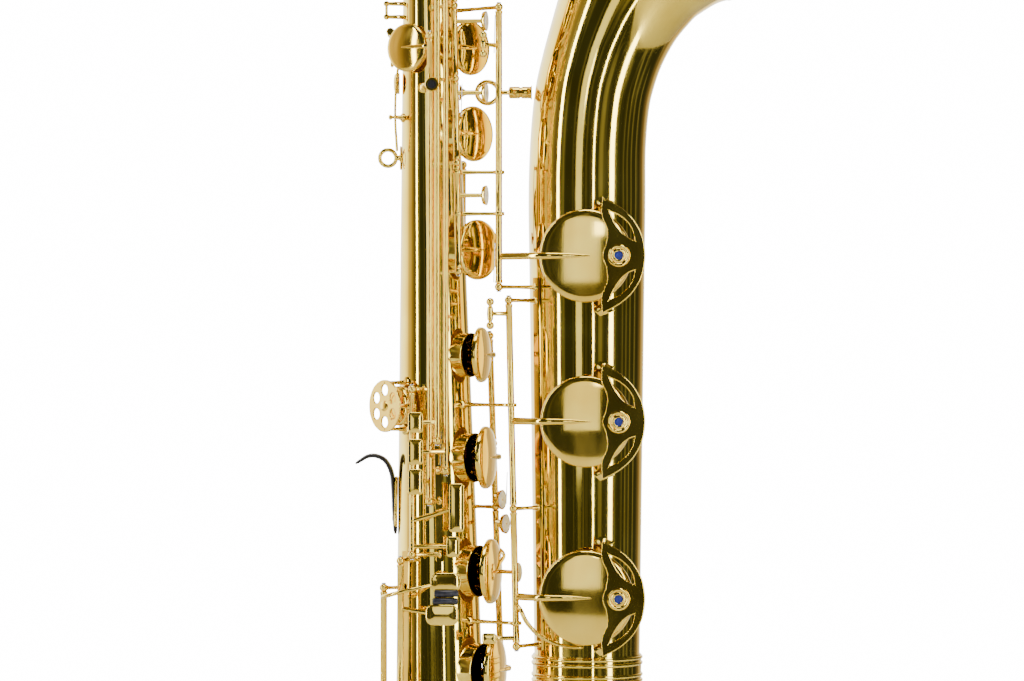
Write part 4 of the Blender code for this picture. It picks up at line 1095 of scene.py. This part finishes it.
def make_fittings():
    loop = hoop((0, 0, 0), ring((0, 0, 0), Y, 6.8, 40), Y, 1.7)
    stem = wire([(7.6, 0, 0), (9.2, 0, 0), (10.6, 0, 0)], [1.8, 2.4, 3.6], 18)
    foot = slab((10.6, 0, 0), (7, 20, 1.4), Y, Z, 0.5, 3.2)
    build("strap_ring_loop", joined(loop, stem, foot), KEY_BRASS, replaces=["strap_ring"])
    z = 54.5
    left = on_body(z, 0, 0.3)
    brace = [Vector((83, 0, z)) + (X * cos(t) + Z * sin(t)) * 9.0 for t in turns(48)]
    build("bell_brace_ring", joined(hoop((83, 0, z), brace, Y, 1.9), wire([left, (74, 0, z)], [2.0, 2.0]),
                                    turned([(0, 6.6), (1.0, 6.6), (2.4, 4.0), (5, 2.4)], left, X, 32),
                                    wire([(92, 0, z), (101, 0, z)], [2.0, 2.0])), KEY_BRASS,
          replaces=["bell_brace"])
    build("bell_brace_barrel",
          turned([(0, 2.4), (0.4, 4.4), (1.4, 5.0), (9, 5.0), (9.8, 4.2), (10.6, 4.2), (11.4, 5.0),
                                       (18, 5.0), (19.6, 6.2)], (100.4, 0, z), X, 40), KEY_BRASS)
    path = [(6.0, 0, -307), (5.2, 0, -292), (4.6, 0, -276), (3.0, 0, -262), (-2.2, 0, -252), (-10.0, 0, -248),
            (-17.0, 0, -248.5),
            (-23.0, 0, -252)]
    build("thumb_hook_blade", wire(path, [7.0, 7.8, 8.0, 8.0, 7.8, 7.2, 6.6, 5.6], 24, 0.27, hint=Y), PLASTIC,
          replaces=["thumb_hook"], angle=60)
    build("thumb_hook_plate", slab((6.8, 0, -287), (17, 44, 2.6), Y, Vector((0.02, 0, 1)), 0.8, 7), KEY_BRASS)
    for k, height in enumerate((-268, -300)):
        build("thumb_hook_screw_%d" % (k + 1), turned([(0, 2.8), (1.0, 2.6), (1.6, 1.6)], (4.9, 0, height),
                                                      -X, 24), STEEL)
    build("thumb_rest_button", turned([(0, 8.8), (2.6, 8.8), (4.2, 7.4), (4.9, 4.0), (5.0, 0.05)],
                                      on_body(62, 180, 2.2), -X,
                                      48), KEY_BRASS, replaces=["thumb_rest"])
    foot_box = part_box("bow_foot")
    low = foot_box[0].z / UNIT
    size = (foot_box[1] - foot_box[0]) / UNIT
    build("bow_foot_plate", slab((105.6, 0, low + 1.5), (size.x, size.y, 3.0), X, Y, 1.0, 9), KEY_BRASS,
          replaces=["bow_foot"])
    walls = [slab((105.6, y, low + 5.5), (size.x * 0.7, 7, 2.0), X, Z, 0.7, 3) for y in (-8, 8)]
    build("bow_foot_walls", joined(*walls), KEY_BRASS)


def make_octave_works():
    ear = [(-2, 2.6), (-1.2, 3.4), (1.2, 3.4), (2, 2.6)]
    ears = [joined(wire([(14.5, y, 104), (3.5, y, 104)], [1.8, 1.8], 14), turned(ear, (2.5, y, 104), Y, 24))
            for y in (-13.5, 13.5)]
    build("octave_bracket_ears", joined(slab((10.2, 0, 104), (26, 7, 2.0), Y, Z, 0.6, 2.5), *ears), KEY_BRASS,
          replaces=["octave_bracket"])
    body = "thumb_octave_lever"
    build("thumb_octave_tube", turned([(0, 2.2), (0.6, 2.8), (22, 2.8), (22.6, 2.2)], (2.5, -11.3, 104), Y,
                                      24), KEY_BRASS,
          body, replaces=["thumb_octave_lever"])
    build("thumb_octave_plate", slab((3.4, 0, 89), (15, 27, 2.4), Y, Z, 0.8, 5), KEY_BRASS, body)
    body = "neck_octave_key"
    sides = (25.2, 42.8)
    build("octave_saddle_bridge", joined(slab((15, 34, 459.4), (4, 19, 2.0), X, Y, 0.5, 1.5),
                                         *[turned([(-1.4, 3.0), (1.4, 3.0)], (15, y, 463.4), Y,
                                                  24) for y in sides],
                                         *[wire([(15, y, 459.4), (15, y, 463)], [1.6, 1.6]) for y in sides]),
          KEY_BRASS,
          replaces=["octave_saddle"])
    build("neck_octave_tube", turned([(0, 2.0), (0.4, 2.5), (12.8, 2.5), (13.2, 2.0)], (15, 27.4, 463.4), Y,
                                     24), KEY_BRASS,
          body, replaces=["neck_octave_key"])
    build("neck_octave_arm", wire([(-8, 34, 468.4), (4, 34, 467.4), (15, 34, 463.8), (30, 34, 464.4),
                                   (42, 34, 461.6)],
                                  [1.7, 1.7, 1.8, 1.6, 1.4], 16), KEY_BRASS, body)
    build("neck_octave_cup", turned([(0, 5.2), (1.8, 5.2), (2.8, 3.6), (3.2, 0.05)], (42, 34, 458.6), Z, 36),
          KEY_BRASS, body)
    away = Vector((34, 36, 0)).normalized()
    along = Vector((-away.y, away.x, 0))
    middle = Vector((93, 17, 214))
    pivot = middle + away * 22.5 - Z * 4
    bar = wire([middle + away * 16 - along * 8.5, middle + away * 16 + along * 8.5], [1.6, 1.6])
    stems = [wire([middle + away * 16.2 + along * (7.5 * s), pivot + along * (7.5 * s)], [1.6, 2.2],
                  14) for s in (-1, 1)]
    build("water_key_posts", joined(bar, *stems), KEY_BRASS, replaces=["water_key_saddle"])
    low = Vector((93, 17, 240 - 24.8 - 13.9 - SEAT))
    body = "water_key"
    build("water_key_tube", turned([(0, 2.0), (0.4, 2.4), (10.2, 2.4), (10.6, 2.0)], pivot - along * 5.3,
                                   along, 24), KEY_BRASS,
          body, replaces=["water_key"])
    build("water_key_lever", wire([pivot + away * 12 + Z * 3, pivot, pivot - away * 10 - Z * 9.5,
                                   low - Z * 2.4],
                                  [2.4, 1.8, 1.6, 1.4], 16), KEY_BRASS, body)
    build("water_key_cup", turned([(0, 5.4), (1.8, 5.4), (2.6, 4.0), (2.9, 0.05)], low, -Z, 36), KEY_BRASS,
          body)
    build("water_key_cork", turned([(-0.3, 4.6), (0.4, 4.6)], low, -Z, 32), CORK, body)


def eye(line, z, inner=3.4):
    return turned([(-1.5, inner), (-1.5, inner + 0.9), (-0.9, inner + 1.3), (0.9, inner + 1.3),
                   (1.5, inner + 0.9), (1.5, inner)],
                  line.at(z), line.along, 32, True)


def strut(start, line, z):
    """A bar from start to a guide eye round a hinge line."""
    spot = line.at(z)
    start = Vector(start)
    stop = spot + (start - spot).normalized() * 3.9
    return joined(wire([start, start.lerp(stop, 0.5), stop], [2.0, 1.5, 1.5], 16), eye(line, z))


def foot_disc(point, facing, radius=4.4):
    return turned([(-0.6, radius), (0.8, radius), (1.4, radius * 0.8), (2.2, radius * 0.5)], point, facing,
                  28)


def make_guides():
    """Guide bars between the rods, and small works on the near side."""
    for z in (-14, -48):
        build("rod_guide_%d" % -z, joined(strut(LEFT_STACK.at(z) + X * 4.2, BELL_HIGH, z),
                                          eye(LEFT_STACK, z)), KEY_BRASS)
    for z in (-205, -384):
        foot = on_body(z, -38, 0.2)
        build("rod_guide_%d" % -z, joined(strut(foot, BELL_LOW, z), foot_disc(foot, out(-38))), KEY_BRASS)
    foot = on_body(57, -103, 0.2)
    ring_at = Vector((37.9, -61.5, 57))
    collar = turned([(-2.4, 3.6), (-2.4, 5.2), (-1.6, 5.8), (1.6, 5.8), (2.4, 5.2), (2.4, 3.6)], ring_at, Y,
                    40, True)
    build("guide_socket", joined(collar, wire([foot, (30.2, -40, 57), (30.6, -56, 57), ring_at - X * 5.0],
                                              [2.0, 1.5, 1.5, 1.5], 16),
                                 foot_disc(foot, out(-103))), KEY_BRASS)
    build("guide_socket_felt", turned([(-1.4, 0.05), (-1.4, 3.7), (1.4, 3.7), (1.4, 0.05)], ring_at, Y, 32),
          PLASTIC)
    post_at = on_body(33, -162, 0.2)
    pin = Vector((8.0, -16, 33))
    axle = turned([(-7, 0.8), (-6.2, 2.2), (-4.8, 2.2), (-4, 1.3), (4, 1.3), (4.8, 2.2), (6.2, 2.2),
                   (7, 0.8)], pin, X, 24)
    build("octave_link_post", joined(wire([post_at, pin], [2.4, 1.6], 16), axle,
                                     foot_disc(post_at, out(-162), 3.8)), KEY_BRASS)
    build("octave_link", wire([(10.5, -17.5, 84), (7.6, -19.5, 62), (6.6, -19.0, 33), (8.0, -15.5, 6)],
                              [1.4, 1.3, 1.3, 1.5], 14, 0.8, hint=Y),
          KEY_BRASS)
    upper = [wire([(-1, -6, z), on_body(z, -168, 0.2)], [1.6, 1.9], 14) for z in (117, 128)]
    balls = [turned([(-2.4, 0.6), (-1.6, 2.1), (0, 2.7), (1.6, 2.1), (2.4, 0.6)], (-1, -6, z), Z,
                    24) for z in (117, 128)]
    build("octave_stop", joined(*upper, *balls, wire([(-1, -6, 116), (-1, -6, 129)], [1.3, 1.3], 14)),
          KEY_BRASS)
    build("low_b_side_lever", wire([(106.6, -45.5, -368), (110.5, -50.5, -373), (115, -53, -382),
                                    (124, -54.5, -392), (137, -56, -399),
                                    (150, -57, -402.5), (160, -57, -403)],
                                   [2.4, 2.6, 2.6, 2.5, 2.3, 2.0, 1.6], 16, 0.7, hint=Y),
          KEY_BRASS, "low_b_key")
    springs = []
    for x, y, high, low in ((88.6, -47.0, 115, 84), (88.4, -46.0, -72, -104), (61.5, -46.5, 58, 32),
                            (44.5, -45.5, -226, -254),
                            (98.5, 5.0, -262, -288), (15.5, -44.5, -494, -520)):
        springs.append(wire([(x, y, low), (x + 0.8, y, high)], [0.45, 0.35], 8))
    build("needle_springs", joined(*springs), STEEL)


# ---------------------------------------------------------------- the set: floor, light and camera

LOOK = Vector((0.1033, 0, -0.152))
FRAME_WIDTH = 0.853
CAMERA_AWAY = 3.0
SENSOR = 36.0


def make_floor():
    low = CAD_BOX[0][2] - 0.0005
    mesh = bpy.data.meshes.new("floor")
    mesh.from_pydata([(-2, -2, low), (2, -2, low), (2, 2, low), (-2, 2, low)], [], [(0, 1, 2, 3)])
    pale, tree, shader = new_material("floor_pale", (0.86, 0.86, 0.85), 0.0, 0.6)
    cloud = object_noise(tree, 6.0, 4.0)
    tree.links.new(ramp(tree, cloud.outputs["Fac"], (0.84, 0.84, 0.83), (0.88, 0.88, 0.87)),
                   shader.inputs["Base Color"])
    mesh.materials.append(pale)
    floor = linked("floor", mesh)


def make_world():
    """A white studio: bright at the sides and behind, dimmer towards the front."""
    world = bpy.data.worlds.new("studio")
    bpy.context.scene.world = world
    world.use_nodes = True
    tree = world.node_tree
    tree.nodes.clear()
    where = add_node(tree, "ShaderNodeTexCoord")
    tall = add_node(tree, "ShaderNodeMapping")
    tall.inputs["Scale"].default_value = (1, 1, 0.12)
    tree.links.new(where.outputs["Generated"], tall.inputs["Vector"])
    streaks = add_node(tree, "ShaderNodeTexNoise", Scale=7.0, Detail=2.0)
    tree.links.new(tall.outputs["Vector"], streaks.inputs["Vector"])
    dim = ramp(tree, streaks.outputs["Fac"], (0.013, 0.014, 0.011), (0.12, 0.115, 0.09), 0.52, 0.72)
    behind = add_node(tree, "ShaderNodeValToRGB")
    stops = behind.color_ramp
    stops.elements[0].position = 0.0
    stops.elements[0].color = (0.0, 0.0, 0.0, 1)
    stops.elements[1].position = 1.0
    stops.elements[1].color = (1.0, 1.0, 0.97, 1)
    for place, colour in ((0.25, (0.05, 0.035, 0.02)), (0.45, (0.20, 0.14, 0.06)), (0.66, (0.34, 0.26, 0.13)),
                          (0.86, (0.80, 0.74, 0.62))):
        stops.elements.new(place).color = (*colour, 1)
    lean = add_node(tree, "ShaderNodeVectorMath", operation="DOT_PRODUCT")
    lean.inputs[1].default_value = (-0.6, 1, 0)
    tree.links.new(where.outputs["Generated"], lean.inputs[0])
    tree.links.new(lean.outputs["Value"], behind.inputs["Fac"])
    room_colour = add_node(tree, "ShaderNodeMix", data_type="RGBA", blend_type="ADD")
    room_colour.inputs["Factor"].default_value = 1.0
    tree.links.new(dim, room_colour.inputs[6])
    tree.links.new(behind.outputs["Color"], room_colour.inputs[7])
    seen = add_node(tree, "ShaderNodeLightPath")
    plain = add_node(tree, "ShaderNodeBackground", Color=(1, 1, 1, 1), Strength=16.0)
    room = add_node(tree, "ShaderNodeBackground", Strength=3.2)
    tree.links.new(room_colour.outputs[2], room.inputs["Color"])
    choice = add_node(tree, "ShaderNodeMixShader")
    tree.links.new(seen.outputs["Is Camera Ray"], choice.inputs["Fac"])
    tree.links.new(room.outputs["Background"], choice.inputs[1])
    tree.links.new(plain.outputs["Background"], choice.inputs[2])
    end = add_node(tree, "ShaderNodeOutputWorld")
    tree.links.new(choice.outputs["Shader"], end.inputs["Surface"])


def soft_light(name, place, target, size, power):
    data = bpy.data.lights.new(name, "AREA")
    data.shape = "RECTANGLE"
    data.size, data.size_y = size
    data.energy = power
    lamp = linked(name, data)
    lamp.location = place
    lamp.rotation_euler = (Vector(target) - Vector(place)).to_track_quat("-Z", "Y").to_euler()


def make_lights():
    aim = (0.1, 0, -0.15)
    soft_light("strip_left", (-1.45, -0.95, 0.0), aim, (0.16, 2.4), 22)
    soft_light("strip_right", (1.55, -1.25, 0.0), aim, (0.30, 2.4), 30)
    soft_light("strip_middle", (0.62, -2.3, 0.1), aim, (0.10, 2.2), 12)
    soft_light("top", (0.1, -0.6, 1.9), aim, (1.2, 0.9), 26)
    soft_light("front", (-0.72, -2.8, 0.1), aim, (0.6, 1.1), 3.2)
    soft_light("front_spark", (-0.44, -2.85, 0.42), aim, (0.16, 0.22), 0.8)


def make_camera():
    data = bpy.data.cameras.new("camera")
    data.sensor_width = SENSOR
    data.lens = SENSOR * CAMERA_AWAY / FRAME_WIDTH
    data.clip_start = 0.05
    data.clip_end = 20
    camera = linked("camera", data)
    camera.location = LOOK - Vector((0, CAMERA_AWAY, 0))
    camera.rotation_euler = (pi / 2, 0, 0)
    bpy.context.scene.camera = camera


make_body()
make_bell()
make_bow()
make_chimneys()
make_ferrules()
make_loop()
make_neck()
make_ribs()
make_rods()
make_stack_keys()
make_side_keys()
make_low_keys()
for base in ("low_a", "low_b_flat", "low_b"):
    make_bell_guard(base, BELL_HOLES[base + "_key"])
make_trill_guard()
make_fittings()
make_octave_works()
make_guides()
make_floor()
make_world()
make_lights()
make_camera()
